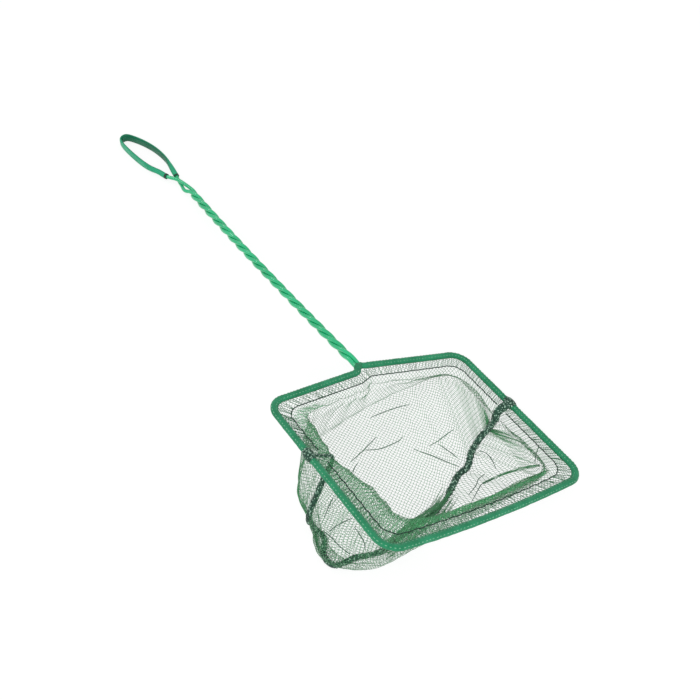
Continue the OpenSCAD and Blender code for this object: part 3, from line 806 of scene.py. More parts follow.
def new_group(name, inputs, outputs):
    """Empty shader node group with named inputs, each a kind and a default, and named outputs,
    each a kind. Returns the group, its node tools and what it is given."""
    tree = bpy.data.node_groups.new(name, "ShaderNodeTree")
    for label, (kind, value) in inputs.items():
        socket = tree.interface.new_socket(label, in_out="INPUT", socket_type=kind)
        socket.default_value = value
    for label, kind in outputs.items():
        tree.interface.new_socket(label, in_out="OUTPUT", socket_type=kind)
    add, maths = node_tools(tree)
    return tree, add, maths, add("NodeGroupInput").outputs


def make_colour_drift():
    """Colour that wanders between two shades: noise at a scale, spread round a half."""
    tree, add, _, given = new_group(
        "colour_drift",
        {"Shade A": (COLOUR, (1, 1, 1, 1)), "Shade B": (COLOUR, (0, 0, 0, 1)),
         "Scale": (NUMBER, 100.0)},
        {"Colour": COLOUR, "Value": NUMBER})
    noise = add("ShaderNodeTexNoise", Vector=add("ShaderNodeTexCoord").outputs["Object"],
                Scale=given["Scale"], Detail=3.0, Roughness=0.6)
    spread = add("ShaderNodeMapRange", Value=noise.outputs["Fac"], From_Min=0.32, From_Max=0.68)
    share = spread.outputs["Result"]
    add("NodeGroupOutput", Value=share,
        Colour=tinted(add, given["Shade A"], given["Shade B"], share))
    return tree


def make_plain_weave():
    """Plain weave on a piece's UV lay. Warp and weft are rows of round threads, and which one
    is on top changes from each square to the next. Height is the upper thread's, and Gap is 1
    where both are low."""
    tree, add, maths, given = new_group(
        "plain_weave", {"Threads per metre": (NUMBER, 2500.0)},
        {"Height": NUMBER, "Gap": NUMBER})
    lay = add("ShaderNodeUVMap", {"uv_map": "lay"})
    scaled = add("ShaderNodeVectorMath", {"operation": "SCALE"}, {0: lay.outputs["UV"]},
                 Scale=given["Threads per metre"]).outputs[0]
    parts = add("ShaderNodeSeparateXYZ", Vector=scaled).outputs
    warp, weft = [maths("ABSOLUTE", maths("SINE", maths("MULTIPLY", parts[axis], math.pi)))
                  for axis in "XY"]
    checks = add("ShaderNodeTexChecker", Vector=scaled, Scale=1.0).outputs["Fac"]
    upper = maths("ADD", maths("MULTIPLY", warp, checks),
                  maths("MULTIPLY", weft, maths("SUBTRACT", 1.0, checks)))
    add("NodeGroupOutput", Height=upper,
        Gap=maths("SUBTRACT", 1.0, maths("MAXIMUM", warp, weft)))
    return tree


def make_fleck_mask():
    """Mask of small pale flecks: 1 near the middles of most cells of a random cell pattern,
    and 0 elsewhere."""
    tree, add, maths, given = new_group(
        "fleck_mask", {"Scale": (NUMBER, 1500.0)}, {"Mask": NUMBER})
    cells = add("ShaderNodeTexVoronoi", Vector=add("ShaderNodeTexCoord").outputs["Object"],
                Scale=given["Scale"]).outputs
    near = add("ShaderNodeMapRange", Value=cells["Distance"], From_Min=0.42, From_Max=0.26)
    split = add("ShaderNodeSeparateColor", Color=cells["Color"])
    chosen = maths("GREATER_THAN", split.outputs["Red"], 0.1)
    add("NodeGroupOutput", Mask=maths("MULTIPLY", near.outputs["Result"], chosen))
    return tree


DRIFT = make_colour_drift()
WEAVE = make_plain_weave()
FLECKS = make_fleck_mask()

# Colours of the weave's gaps and of the flecks, the weave's depth as a share of a thread's width,
# and the shares of a finish's roughness between which it drifts
GAP_TINT = (0.35, 0.42, 0.38, 1)
FLECK_TINT = (0.45, 0.70, 0.54, 1)
WEAVE_DEPTH = 0.35
LEAST_ROUGH = 0.85
MOST_ROUGH = 1.2


def finish_of(name, shade_a, shade_b, drift_scale, constants, bump=None, weave=None,
              flecks=None, painted_side_shade=None):
    """Material whose colour drifts between two shades, with fixed Principled values and noise
    bump of a scale and a depth in metres. On cloth there is a plain weave of so many threads
    per metre, or pale flecks of so many cells per metre. A painted side shade multiplies the
    colour where V of the UV lay is 1: painted shade that stands in for shadow."""
    material = bpy.data.materials.new(name)
    material.use_nodes = True
    tree = material.node_tree
    add, _ = node_tools(tree)
    drift = add("ShaderNodeGroup", {"node_tree": DRIFT}, Scale=drift_scale,
                Shade_A=(*shade_a, 1), Shade_B=(*shade_b, 1)).outputs
    rough = add("ShaderNodeMapRange", Value=drift["Value"],
                To_Min=constants["Roughness"] * LEAST_ROUGH,
                To_Max=min(1.0, constants["Roughness"] * MOST_ROUGH))
    colour = drift["Colour"]
    normal = None
    if weave:
        cloth = add("ShaderNodeGroup", {"node_tree": WEAVE}, Threads_per_metre=weave).outputs
        colour = tinted(add, colour, GAP_TINT, cloth["Gap"], "MULTIPLY")
        normal = add("ShaderNodeBump", Strength=1.0, Distance=WEAVE_DEPTH / weave,
                     Height=cloth["Height"]).outputs["Normal"]
    if flecks:
        mask = add("ShaderNodeGroup", {"node_tree": FLECKS}, Scale=flecks).outputs["Mask"]
        colour = tinted(add, colour, FLECK_TINT, mask)
    # Painted shade: the colour is darkened by the painted side shade where the lay's V is 1
    if painted_side_shade:
        lay = add("ShaderNodeUVMap", {"uv_map": "lay"}).outputs["UV"]
        side = add("ShaderNodeSeparateXYZ", Vector=lay).outputs["Y"]
        colour = tinted(add, colour, (painted_side_shade, painted_side_shade, painted_side_shade, 1), side, "MULTIPLY")
    if bump:
        scale, depth = bump
        grain = add("ShaderNodeTexNoise", Vector=add("ShaderNodeTexCoord").outputs["Object"],
                    Scale=scale, Detail=4.0, Roughness=0.6)
        under = {"Normal": normal} if normal else {}
        normal = add("ShaderNodeBump", Strength=1.0, Distance=depth,
                     Height=grain.outputs["Fac"], **under).outputs["Normal"]
    shader = tree.nodes["Principled BSDF"]
    for key, value in constants.items():
        shader.inputs[key].default_value = value
    tree.links.new(rough.outputs["Result"], shader.inputs["Roughness"])
    tree.links.new(colour, shader.inputs["Base Color"])
    if normal:
        tree.links.new(normal, shader.inputs["Normal"])
    return material


COAT = finish_of("green_wire_coat", (0.02, 0.62, 0.27), (0.012, 0.50, 0.205), 55,
                 {"Roughness": 0.24, "Coat Weight": 0.5, "Coat Roughness": 0.08},
                 bump=(900, 0.00003))
STEEL = finish_of("drawn_steel", (0.42, 0.43, 0.44), (0.30, 0.30, 0.31), 300,
                  {"Roughness": 0.35, "Metallic": 1.0}, bump=(2500, 0.00002))
# The sleeve's colour gets painted shade, 0.45 times as bright, on the loop's inner side
SLEEVE = finish_of("soft_loop_sleeve", (0.035, 0.50, 0.26), (0.02, 0.38, 0.19), 70,
                   {"Roughness": 0.45, "Specular IOR Level": 0.3},
                   bump=(260, 0.00012), painted_side_shade=0.45)
TAPE = finish_of("woven_binding", (0.022, 0.45, 0.20), (0.012, 0.32, 0.135), 120,
                 {"Roughness": 0.72, "Sheen Weight": 0.12, "Sheen Roughness": 0.4},
                 bump=(700, 0.00012), weave=2400)
NETTING = finish_of("net_thread", (0.075, 0.37, 0.14), (0.05, 0.26, 0.10), 160,
                    {"Roughness": 0.5, "Sheen Weight": 0.15})
# Painted light: the slack layers are the same thread as the netting, coloured lighter to make up
# for the shade between the layers
SLACK_NET_LIGHTENED = finish_of("slack_net_painted_light", (0.20, 0.84, 0.38), (0.15, 0.70, 0.30), 160,
                      {"Roughness": 0.5, "Sheen Weight": 0.15})
HEM_NET = finish_of("hem_net_thread", (0.05, 0.24, 0.11), (0.03, 0.15, 0.07), 200,
                    {"Roughness": 0.55, "Sheen Weight": 0.15})
SEAM = finish_of("rolled_seam_cloth", (0.014, 0.10, 0.055), (0.006, 0.045, 0.026), 350,
                 {"Roughness": 0.7, "Sheen Weight": 0.2}, bump=(1600, 0.0003), flecks=800)
# Crease lines: darker than the thread, partly for their bunched threads and partly as painted shade
# in each fold
CREASE_BUNCH_AND_SHADE = finish_of("crease_bunch_and_painted_shade", (0.035, 0.13, 0.075), (0.02, 0.08, 0.045), 300,
                   {"Roughness": 0.6})
# Dark thread of the hem stitches, which also colours the painted shade rings at the sleeve's mouths
DARK_THREAD_AND_SHADE = finish_of("dark_thread_and_painted_shade", (0.008, 0.06, 0.032), (0.004, 0.03, 0.018), 500,
                        {"Roughness": 0.5}, bump=(6000, 0.00005))
PALE_THREAD = finish_of("pale_sewing_thread", (0.26, 0.62, 0.40), (0.16, 0.48, 0.28), 500,
                        {"Roughness": 0.45, "Sheen Weight": 0.1}, bump=(6000, 0.00005))


def coated_wire(name, path, replaced):
    """Round plastic coat about a wire's path, its two cut ends slightly rounded and open round
    the steel."""
    path = eased(evenly(path, COAT_SPACING))
    sums = run_lengths(path)
    cut = np.array([0, CUT_ROUND / 3, CUT_ROUND])
    path = at_lengths(path, np.concatenate([cut, sums[1:-1], sums[-1] - cut[::-1]]))
    outer = np.full(len(path), WIRE_R)
    outer[[0, -1]] -= CUT_ROUND
    outer[[1, -2]] -= CUT_ROUND / 3
    coat = hollow(path, level_frames(path), circles(outer, COAT_SIDES),
                  circles(CORE_BORE_R, COAT_SIDES))
    make_piece(name, coat, COAT, replaced)


def make_wires():
    """The hoop's wire and the third strand, each a coat round its steel."""
    coated_wire("wire_coat", whole_wire(), ["hoop_wire_coating"])
    y = np.linspace(STIFFENER_INSET, TWIST_LENGTH - STIFFENER_INSET, TWIST_STEPS)
    coated_wire("third_strand_coat", strand(270, 210, PERCH_R, y), ["stiffener_coating"])
    for node in ("hoop_wire_core", "stiffener_core"):
        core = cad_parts[node]
        core.data.materials.clear()
        core.data.materials.append(STEEL)


def make_sleeve():
    """Soft sleeve of the hanging loop: round over the wires at its mouths and pressed flat on
    edge between them. Its section is a superellipse that grows squarer as it flattens. The
    flat part has painted shade on the loop's inner side: its colour is darkened there as though
    in shadow."""
    u = np.linspace(NEAR_MOUTH, FAR_MOUTH, (FAR_MOUTH - NEAR_MOUTH) * SLEEVE_STEPS + 1)
    path = loop_run(NEAR_MOUTH, FAR_MOUTH, SLEEVE_STEPS)
    end = np.minimum(u - NEAR_MOUTH, FAR_MOUTH - u)
    flat = smooth_share((end - WIRE_INSERT) / FLATTEN_RUN)[:, None]
    t = turns(SLEEVE_SIDES, 0.5)
    section = around(t)
    section = np.sign(section) * np.abs(section) ** mix(1.0, SLEEVE_POWER, flat)[:, None]

    def pressed(round_r, half_width, half_height):
        return section * np.stack([mix(round_r, half_width, flat),
                                   mix(round_r, half_height, flat)], axis=-1)

    outer = pressed(SLEEVE_R, FLAT_HALF, BAND_HALF)
    outer *= 1 - MOUTH_ROUND * np.clip(1 - end / MOUTH_RUN, 0, 1)[:, None, None]
    outer[..., 0] *= 1 + uneven(u, t, 4, SLEEVE_WAVES)
    inner = pressed(SLEEVE_BORE_R, FLAT_GAP / 2, BAND_HALF - SLEEVE_WALL)
    points, tris, _ = hollow(path, level_frames(path), outer, inner)
    # Painted shade: 1 where the flat part's colour is darkened on the loop's inner side, passed to
    # the material as V of the UV lay
    inner_side = smooth_share(0.5 + 1.5 * np.cos(t)) * flat
    shade = np.concatenate([inner_side, np.ones_like(inner_side)]).ravel()[tris.ravel()]
    uv = np.stack([np.zeros_like(shade), shade], axis=1)
    make_piece("loop_sleeve", (points, tris, uv), SLEEVE, ["hang_loop_sleeve"],
               laid=True)


def make_mouth_shade_rings():
    """Painted shade at each mouth of the sleeve: a dark ring where the mouth's shadow falls."""
    shade_rings = []
    for start in (NEAR_MOUTH - SHADE_RING_OVERRUN, FAR_MOUTH - SHADE_RING_SPAN):
        path = loop_run(start, start + SHADE_RING_SPAN + SHADE_RING_OVERRUN, SHADE_RING_STEPS)
        outer = np.full(len(path), SLEEVE_R + SHADE_RING_PROUD)
        outer[[0, -1]] -= SHADE_RING_ROUND
        shade_rings.append(hollow(path, level_frames(path), circles(outer, TAPE_SIDES),
                           circles(SLEEVE_BORE_R + SHADE_RING_SEAT, TAPE_SIDES)))
    # The rings are painted shade, in the dark thread's colour
    make_piece("sleeve_mouth_painted_shade", joined(shade_rings), DARK_THREAD_AND_SHADE)


def outward_of(flat):
    """Outward direction in the hoop's plane at each point of a rim path that goes round
    against the clock, seen from above."""
    tangent = unit(np.gradient(flat, axis=0))
    return np.stack([tangent[:, 1], -tangent[:, 0]], axis=1)


def about_rim(flat, offsets):
    """Rings about a rim path: offsets (n, k, 2) are outward in the plane and up off it."""
    plane = flat[:, None] + offsets[..., :1] * outward_of(flat)[:, None]
    return hoop_from_neck(with_height(plane, offsets[..., 1]))


def binding_path(side):
    """Rim path of a back length of binding, from its start at the neck to the seam wrap."""
    whole = np.concatenate([neck_bend(side)[BINDING_START:], back_half(side)])
    whole[-1, 1] += BUTT_GAP / 2
    return whole


def make_binding(label, flat, seed):
    """Length of folded tape round the wire. Its section is a circle drawn out to a lip on the
    inner side, where the netting leaves it, and slow noise makes it uneven."""
    flat = evenly(flat, TAPE_SPACING)
    t = turns(TAPE_SIDES, -TAPE_SIDES / 4)
    along = run_lengths(flat)
    end = np.minimum(along, along[-1] - along)[:, None]
    lip = TAPE_LIP * np.exp(-((np.abs(t % (2 * math.pi) - math.pi) / TAPE_LIP_ANGLE) ** 2))
    r = (TAPE_R - TAPE_SINK + lip + uneven(along, t, seed, TAPE_WAVES)
         - TAPE_END_ROUND * np.clip(1 - end / TAPE_END_RUN, 0, 1))
    outer = about_rim(flat, r[..., None] * around(t))
    inner = about_rim(flat, (WIRE_R + TAPE_SEAT) * around(t)[None])
    tape = skin(np.concatenate([outer, inner[::-1]]), wrapped=True)
    make_piece("binding_" + label, tape, TAPE, ["rim_tape_" + label], laid=True)


def stitches(flat, angle, seed):
    """Row of short stitches sunk by half in the binding, at an angle up from its outer side.
    Each one is a capsule whose ends dip into the cloth."""
    rng = np.random.default_rng(seed)
    starts = np.arange(STITCH_PITCH, run_lengths(flat)[-1] - 2 * STITCH_PITCH, STITCH_PITCH)
    starts = starts + rng.uniform(-STITCH_STRAY, STITCH_STRAY, len(starts)) * STITCH_PITCH
    length = STITCH_LENGTH * rng.uniform(*STITCH_SPREAD, len(starts))
    u = np.linspace(0, 1, 7)
    at = starts[:, None] + length[:, None] * u
    line = evenly(flat, RIM_SPACING)
    sums = run_lengths(line)
    middle = between(sums, line, at)[:, :, None]
    outward = unit(between(sums, outward_of(line), at))[:, :, None]
    lift = (TAPE_R - TAPE_SINK + STITCH_ARCH * np.sin(math.pi * u) - STITCH_SINK)[:, None]
    thick = STITCH_R * np.sqrt(np.clip(1 - (2 * u - 1) ** 2, 0.06, 1))[:, None]
    t = turns(STITCH_SIDES)
    rise = lift + thick * np.cos(t)
    sway = thick * np.sin(t)
    out = rise * math.cos(angle) - sway * math.sin(angle)
    up = rise * math.sin(angle) + sway * math.cos(angle)
    rings = hoop_from_neck(with_height(middle + out[..., None] * outward, up))
    return joined([skin(r) for r in rings])


def make_binding_set():
    """The three lengths of binding and their two rows of pale stitches."""
    left = binding_path(-1)
    right = binding_path(1)[::-1]
    front = RIM_FRONT.copy()
    front[[0, -1], 1] -= BUTT_GAP / 2
    make_binding("back_left", left, 11)
    make_binding("back_right", right, 12)
    make_binding("front", front, 13)
    rows = [stitches(flat, math.radians(angle), 20 + 2 * i + k)
            for i, flat in enumerate((left, front, right)) for k, angle in enumerate(STITCH_ANGLES)]
    make_piece("rim_stitches", joined(rows), PALE_THREAD, ["rim_stitch"])


def drawn_in(flat, left, right, front, back):
    """Rim points drawn in toward the hoop's middle, by their own distance on each side: the
    distances blend evenly with the place across the width and down the length."""
    x, y = flat[:, 0] - NECK_OFFSET, flat[:, 1] - MID_Y
    dx = mix(right, left, (1 - x / HALF_W) / 2)
    dy = mix(front, back, np.clip((1 + y / HALF_L) / 2, 0, 1))
    return np.stack([NECK_OFFSET + x * (1 - dx / HALF_W), MID_Y + y * (1 - dy / HALF_L)], axis=1)


def seam_share_at(share):
    """The seam's own share that a panel's column meets, drawn toward the seam's two ends."""
    return share - SEAM_DRAW_SHARE * np.sin(2 * math.pi * share) / (2 * math.pi)


def above_table(p, height=NET_LIFT):
    """Points kept at least a height above the table."""
    return np.concatenate([p[..., :2], np.maximum(p[..., 2:], height)], axis=-1)


def rim_of(back):
    """The part of the rim that a panel hangs from."""
    return RIM_BACK if back else RIM_FRONT


def rim_length(back):
    """The length of a panel's part of the rim."""
    return run_lengths(rim_of(back))[-1]


def solid_places(back, share):
    """The seven places that a panel passes on its way to the seam, for each share: binding,
    hem, fold, wall twice, foot on the table, and seam. Shape (7, n, 3)."""
    flat = at_lengths(rim_of(back), share * rim_length(back))
    top = hoop_from_neck(flat)
    edge = drawn_in(flat, *[TAPE_R] * 4)
    hem = drawn_in(flat, *[HEM_WIDTH] * 4)
    folded = curve_at(BACK_FOLD_SHARES if back else FRONT_FOLD_SHARES, share * LAST_ACROSS)
    fold = drawn_in(flat, *[folded * size
                            for size in (LEFT_FOLD, RIGHT_FOLD, FRONT_FOLD, BACK_FOLD)])
    fold = hoop_from_neck(with_height(fold, -FOLD_DROP))
    foot = on_table(BACK_FOOT_SHARES if back else FRONT_FOOT_SHARES, share * LAST_ACROSS)
    seam = on_table(SEAM_SHARES, seam_share_at(share) * (len(SEAM_SHARES) - 1))

    def wall(reach, height):
        return with_height(mix(fold[:, :2], foot, reach), height * top[:, 2])

    return above_table(np.stack([
        hoop_from_neck(edge), hoop_from_neck(with_height(hem, -HEM_DROP_SHARE * FOLD_DROP)), fold,
        wall(UPPER_REACH_SHARE, UPPER_WALL_SHARE), wall(LOWER_REACH_SHARE, LOWER_WALL_SHARE),
        with_height(foot, NET_LIFT), with_height(seam, NET_LIFT)]))


def panel_places(back, share):
    """The solid's places with two more after the fold, where slack netting is tucked back
    under it, and one more on the table a share of the way from the foot to the seam. Shape
    (10, n, 3). The tuck's drops shrink where the hoop lies low."""
    p = solid_places(back, share)
    tuck = curve_at(np.array(BACK_TUCKS if back else FRONT_TUCKS)[:, None], share * LAST_ACROSS)
    outward = unit((p[0] - p[2]) * (1, 1, 0))
    down = np.clip(p[2][:, 2:] / FREE_HEIGHT, 0, 1) * (0, 0, -1)
    under = p[2] + tuck * outward + TUCK_DROP * down
    back_in = p[2] - TUCK_RETURN * outward + RETURN_DROP * down
    inward = mix(p[5], p[6], FLOOR_SHARE)
    return above_table(np.concatenate([p[:3], [under, back_in], p[3:6], [inward], p[6:]]))


def ramp(x, start, end):
    """0 before start, 1 after end, and smooth between them."""
    return smooth_share((x - start) / (end - start))


def band(x, rise, top, fall, end):
    """0 outside rise and end, 1 between top and fall, and smooth between those."""
    return ramp(x, rise, top) * (1 - ramp(x, fall, end))


def panel_grid(back, shares, places):
    """Points of a panel's netting (shares, places, 3). Pleats run down the walls and ripples
    down the hem, each a sine along the rim whose start drifts, and low ridges lie across the
    floor. They fade out at the panel's two ends, and the pleats also where the wall is low."""
    base = curve_at(panel_places(back, shares), places).transpose(1, 0, 2)
    seed = 40 if back else 50
    normal = unit(np.cross(np.gradient(base, axis=0), np.gradient(base, axis=1)))
    x = (shares * rim_length(back))[:, None]
    u = places[None, :]
    drift = soft_noise(x / WAVE_DRIFT, u * 0.7, seed)

    def waves(kinds):
        return sum(height * np.sin(2 * math.pi * x / length + sway * drift + start)
                   for height, length, sway, start in kinds)

    high, wide, deep = RIDGES
    ridges = high * (1 + soft_noise(base[..., 0] / wide, base[..., 1] / deep, seed + 1))
    ends = smooth_share(np.minimum(shares, 1 - shares) / END_FADE)[:, None]
    room = np.clip(base[..., 2] / PLEAT_ROOM, 0.12, 1)
    lift = (waves(PLEATS) * band(u, *WALL_BAND) * room + waves(RIPPLES) * band(u, *HEM_BAND)) * ends
    base = base + (lift if back else -lift)[..., None] * normal
    base[..., 2] += ridges * band(u, *FLOOR_BAND) * ends
    return above_table(base)


def sheet_rows(back):
    """A panel's netting at the tops and ends of its joints, measured down its columns. Returns
    the rows' points (rows, columns, 3), and which of them are still on the sheet."""
    grid = panel_grid(back, np.linspace(0, 1, SHEET_COLUMNS),
                      np.linspace(0, LAST_PLACE, SHEET_STEPS))
    lengths = np.stack([run_lengths(column) for column in grid])
    tops = np.arange(0, lengths.max(), ROW_PITCH)
    wanted = np.stack([tops, tops + JOINT_LENGTH], axis=1).ravel()
    rows = np.stack([at_lengths(column, wanted) for column in grid], axis=1)
    return rows, wanted[:, None] <= lengths[None, :, -1] + ROW_PITCH / 2


def netting_threads(back, seed):
    """Netting of six-sided openings laid on a panel. Each thread keeps to its own lane down the
    sheet. It runs side by side with its left and its right neighbour in turn, for the length of
    a joint, and crosses its lane between them. Lanes are half a pitch apart along the sheet's
    rows, counted from the middle column, and each thread is a three-sided tube."""
    rows, on_sheet = sheet_rows(back)
    count, columns = rows.shape[:2]
    middle = columns // 2
    sums = np.stack([run_lengths(row) for row in rows])
    sums = sums - sums[:, middle:middle + 1]
    reach = int(max(sums.max(), -sums.min()) / HALF_PITCH) + 1
    lane = np.arange(-reach, reach)[:, None]
    group = np.arange(count)[None, :] // 2
    odd = (lane - group) % 2
    rng = np.random.default_rng(seed)
    wander = rng.normal(0, THREAD_WANDER, (2 * reach + 1, count // 2 + 1))
    place = ((lane + odd) * HALF_PITCH + wander[lane + odd + reach, group]
             + (1 - 2 * odd) * NET_THREAD_R)
    j = np.arange(count)
    path = np.stack([between(sums[i], rows[i], place[:, i]) for i in j], axis=1)
    column = np.stack([np.interp(place[:, i], sums[i], np.arange(columns)) for i in j], axis=1)
    nearest = np.rint(column).astype(int)
    good = (place >= sums[:, 0]) & (place <= sums[:, -1]) & on_sheet[j, nearest]
    normals = unit(np.cross(np.gradient(rows, axis=1), np.gradient(rows, axis=0)))
    tangent = unit(np.gradient(path, axis=1))
    side = unit(np.cross(tangent, normals[j, nearest]))
    up = np.cross(side, tangent)
    section = NET_THREAD_R * around(turns(NET_SIDES, NET_SIDES / 4))
    rings = (path[:, :, None] + section[:, :1] * side[:, :, None]
             + section[:, 1:] * up[:, :, None])
    first = (np.arange(len(lane))[:, None] * count + j) * NET_SIDES
    a = first[:, :-1][good[:, :-1] & good[:, 1:]][:, None] + np.arange(NET_SIDES)
    b = np.roll(a, -1, axis=1)
    tris = np.stack([a, a + NET_SIDES, b + NET_SIDES, a, b + NET_SIDES, b], axis=-1)
    tris = tris.reshape(-1, 3)
    return above_table(rings.reshape(-1, 3), THREAD_LIFT), tris, None


def hem_comb(back, seed):
    """The hem's doubled netting: threads side by side from the binding to the hem's stitch,
    each on its own slightly slanted line over the panel."""
    rng = np.random.default_rng(seed)
    total = rim_length(back)
    starts = np.arange(HEM_PITCH, total - HEM_PITCH, HEM_PITCH)
    starts = starts + rng.uniform(-HEM_STRAY, HEM_STRAY, len(starts)) * HEM_PITCH
    slant = rng.normal(0, HEM_SLANT, len(starts))
    steps = np.linspace(*HEM_SPAN, 9)
    grid = panel_grid(back, np.linspace(0, 1, SHEET_COLUMNS), steps)
    last = SHEET_COLUMNS - 1
    at = np.clip((starts[:, None] + slant[:, None] * steps) / total * last, 0, last)
    low = np.minimum(at.astype(int), last - 1)
    k = np.arange(len(steps))
    path = mix(grid[low, k], grid[low + 1, k], (at - low)[..., None])
    path[..., 2] += HEM_LIFT
    return joined([rod(p, HEM_THREAD_R * rng.uniform(*HEM_SPREAD), BUNCH_SIDES) for p in path])


def hem_thread(back):
    """Dark thread along the hem: a line of stitches, thick in the middle of each and thin
    between them."""
    shares = np.linspace(*HEM_STITCH_SPAN, HEM_STITCH_POINTS)
    places = np.array([HEM_STITCH_PLACE - 0.02, HEM_STITCH_PLACE])
    path = panel_grid(back, shares, places)[:, 1]
    path[:, 2] += HEM_STITCH_LIFT
    stitch = np.abs(np.sin(math.pi * run_lengths(path) / HEM_STITCH_PITCH))
    return rod(path, HEM_STITCH_R + HEM_STITCH_SWELL * np.sqrt(stitch), STITCH_SIDES)


def slack_layers(back, first, last, first_top, last_top, count, seed):
    """Slack netting that lies in layers under a panel and ends at the fold's edge. Each layer
    is two sets of threads that slant opposite ways, a step lower than the last."""
    rng = np.random.default_rng(seed)
    total = rim_length(back)
    starts = np.arange(first * total, last * total, SLACK_PITCH)[:, None]
    columns = np.linspace(0, 1, SHEET_COLUMNS)
    steps = np.linspace(0, FOLD_EDGE, FOLD_EDGE * STEPS_A_PLACE + 1)
    grid = curve_at(panel_places(back, columns), steps).transpose(1, 0, 2)
    tops = np.linspace(first_top, last_top, len(starts))[:, None]
    share = np.linspace(0, 1, 11)
    threads = []
    for layer in range(count):
        for way in (-1, 1):
            start = tops + rng.uniform(-SLACK_RAGGED, SLACK_RAGGED, tops.shape)
            down = mix(np.clip(start, *SLACK_TOPS), FOLD_EDGE, share)
            stray = rng.normal(0, SLACK_STRAY, starts.shape)
            at = starts + way * SLACK_SLANT * (down - SLACK_TURN) + stray
            at = np.clip(at / total * (SHEET_COLUMNS - 1), 0, SHEET_COLUMNS - 1)
            path = grid[np.rint(at).astype(int), np.rint(down * STEPS_A_PLACE).astype(int)]
            path[..., 2] -= SLACK_STEP * (layer + 1)
            threads += [rod(eased(p, 1), NET_THREAD_R, NET_SIDES) for p in above_table(path)]
    return joined(threads)


def seam_cover(seed):
    """Netting drawn tight over the seam where it goes in under the front fold: threads that run
    along it and cross a little, on a sheet whose height falls from over the seam to the table
    as the square of a cosine."""
    rng = np.random.default_rng(seed)
    line = on_table(SEAM_SHARES, np.linspace(*COVER_PLACES, COVER_STEPS))
    u = np.linspace(0, 1, COVER_STEPS)
    lean = (rng.normal(0, COVER_LEAN, COVER_THREADS)[:, None]
            * (u - rng.uniform(0.2, 0.9, COVER_THREADS)[:, None]))
    side = np.linspace(-1, 1, COVER_THREADS)[:, None] + lean
    side = np.clip(side, -COVER_STRAY, COVER_STRAY)
    rise = SEAM_R + COVER_HEIGHT + rng.uniform(0, SLACK_STEP, COVER_THREADS)[:, None]
    dome = np.cos(math.pi / 2 * np.clip(side, -1, 1)) ** 2
    paths = with_height(line - COVER_HALF * side[..., None] * outward_of(line),
                        NET_LIFT + rise * dome)
    near, far = [(rng.uniform(0, COVER_CUT, COVER_THREADS) * COVER_STEPS).astype(int)
                 for _ in range(2)]
    return joined([rod(p[a:COVER_STEPS - b], NET_THREAD_R, NET_SIDES)
                   for p, a, b in zip(paths, near, far)])


def make_bag():
    """The two panels of netting with their hems, their slack layers and the seam's cover."""
    slack = [slack_layers(*stretch, 90 + i) for i, stretch in enumerate(SLACK)]
    # The slack layers take the netting's thread colour lightened, as painted light
    layers = make_piece("netting_slack", joined(slack), SLACK_NET_LIGHTENED)
    cover = make_piece("netting_over_seam", seam_cover(95), NETTING)
    for back, label, seed in ((True, "back", 31), (False, "front", 32)):
        net = make_piece("netting_" + label, netting_threads(back, seed), NETTING,
                         ["bag_panel_" + label])
        hem = make_piece("hem_" + label, hem_comb(back, seed + 2), HEM_NET)
        thread = make_piece("hem_thread_" + label, hem_thread(back), DARK_THREAD_AND_SHADE,
                            ["hem_stitch_" + label])


def seam_path():
    """The seam's line: down the bag's left edge, across the table and up its right edge."""
    places = np.linspace(0, 6, 60)
    left, right = [curve_at(solid_places(True, np.array([end])), places)[:, 0]
                   for end in (0.0, 1.0)]
    middle = on_table(SEAM_SHARES, np.linspace(0, len(SEAM_SHARES) - 1, 200))[1:-1]
    path = np.concatenate([left, with_height(middle, NET_LIFT), right[::-1]])
    return above_table(path, SEAM_R)


def seam_fullness(path, along):
    """Thickness of the seam at each point, as a share of its full one: thin down the bag's
    left edge, a little thin on its first half, drawn tight under the netting that covers it,
    and swollen up its right edge."""
    total = along[-1]
    start, end = [along[np.argmin(np.linalg.norm(path[:, :2] - p, axis=1))]
                  for p in on_table(SEAM_SHARES, np.array(COVER_PLACES))]
    covered = band(along, start, start + COVERED_RUNS[0], end - COVERED_RUNS[1], end)
    return (mix(LEFT_END_SHARE, 1, ramp(along, *LEFT_END_RUN))
            * mix(FIRST_HALF_SHARE, 1, ramp(along, *[total * share for share in MIDDLE_RUN]))
            * mix(1, RIGHT_END_SHARE, ramp(along, *[total - run for run in RIGHT_END_RUN]))
            * mix(1, COVERED_SHARE, covered))


def make_seam():
    """The rolled seam: an uneven dark roll with two threads wound round it."""
    path = eased(evenly(seam_path(), SEAM_SPACING), 6)
    frames = carried_frames(path, (0.0, 1.0, 0.0))
    along = run_lengths(path)
    full = seam_fullness(path, along)
    t = turns(ROLL_SIDES)
    r = ROLL_SHARE * SEAM_R * full[:, None] * (1 + uneven(along, t, 61, SEAM_WAVES))
    parts = [skin(rings_round(path, frames, r[..., None] * around(t)))]
    fine = np.linspace(WINDING_INSET, along[-1] - WINDING_INSET,
                       int(along[-1] / WINDING_SPACING))
    height, length = WINDING_WAVES
    middle = between(along, path, fine)
    sides = [between(along, way, fine) for way in frames]
    for k, turn in enumerate(WINDING_TURNS):
        out = WINDING_SHARE * SEAM_R * (1 + height * line_noise(fine / length, 63 + k))
        out = (out * np.interp(fine, along, full))[:, None]
        offsets = out * around(2 * math.pi * fine / turn + 2 * k)
        coil = rings_round(middle, sides, offsets[:, None])[:, 0]
        parts.append(rod(coil, WINDING_R, WINDING_SIDES, carried_frames(coil, (0.3, 0.2, 0.9))))
    points, tris, _ = joined(parts)
    make_piece("seam_roll", (above_table(points, SEAM_LIFT), tris, None), SEAM,
               ["bag_seam"])


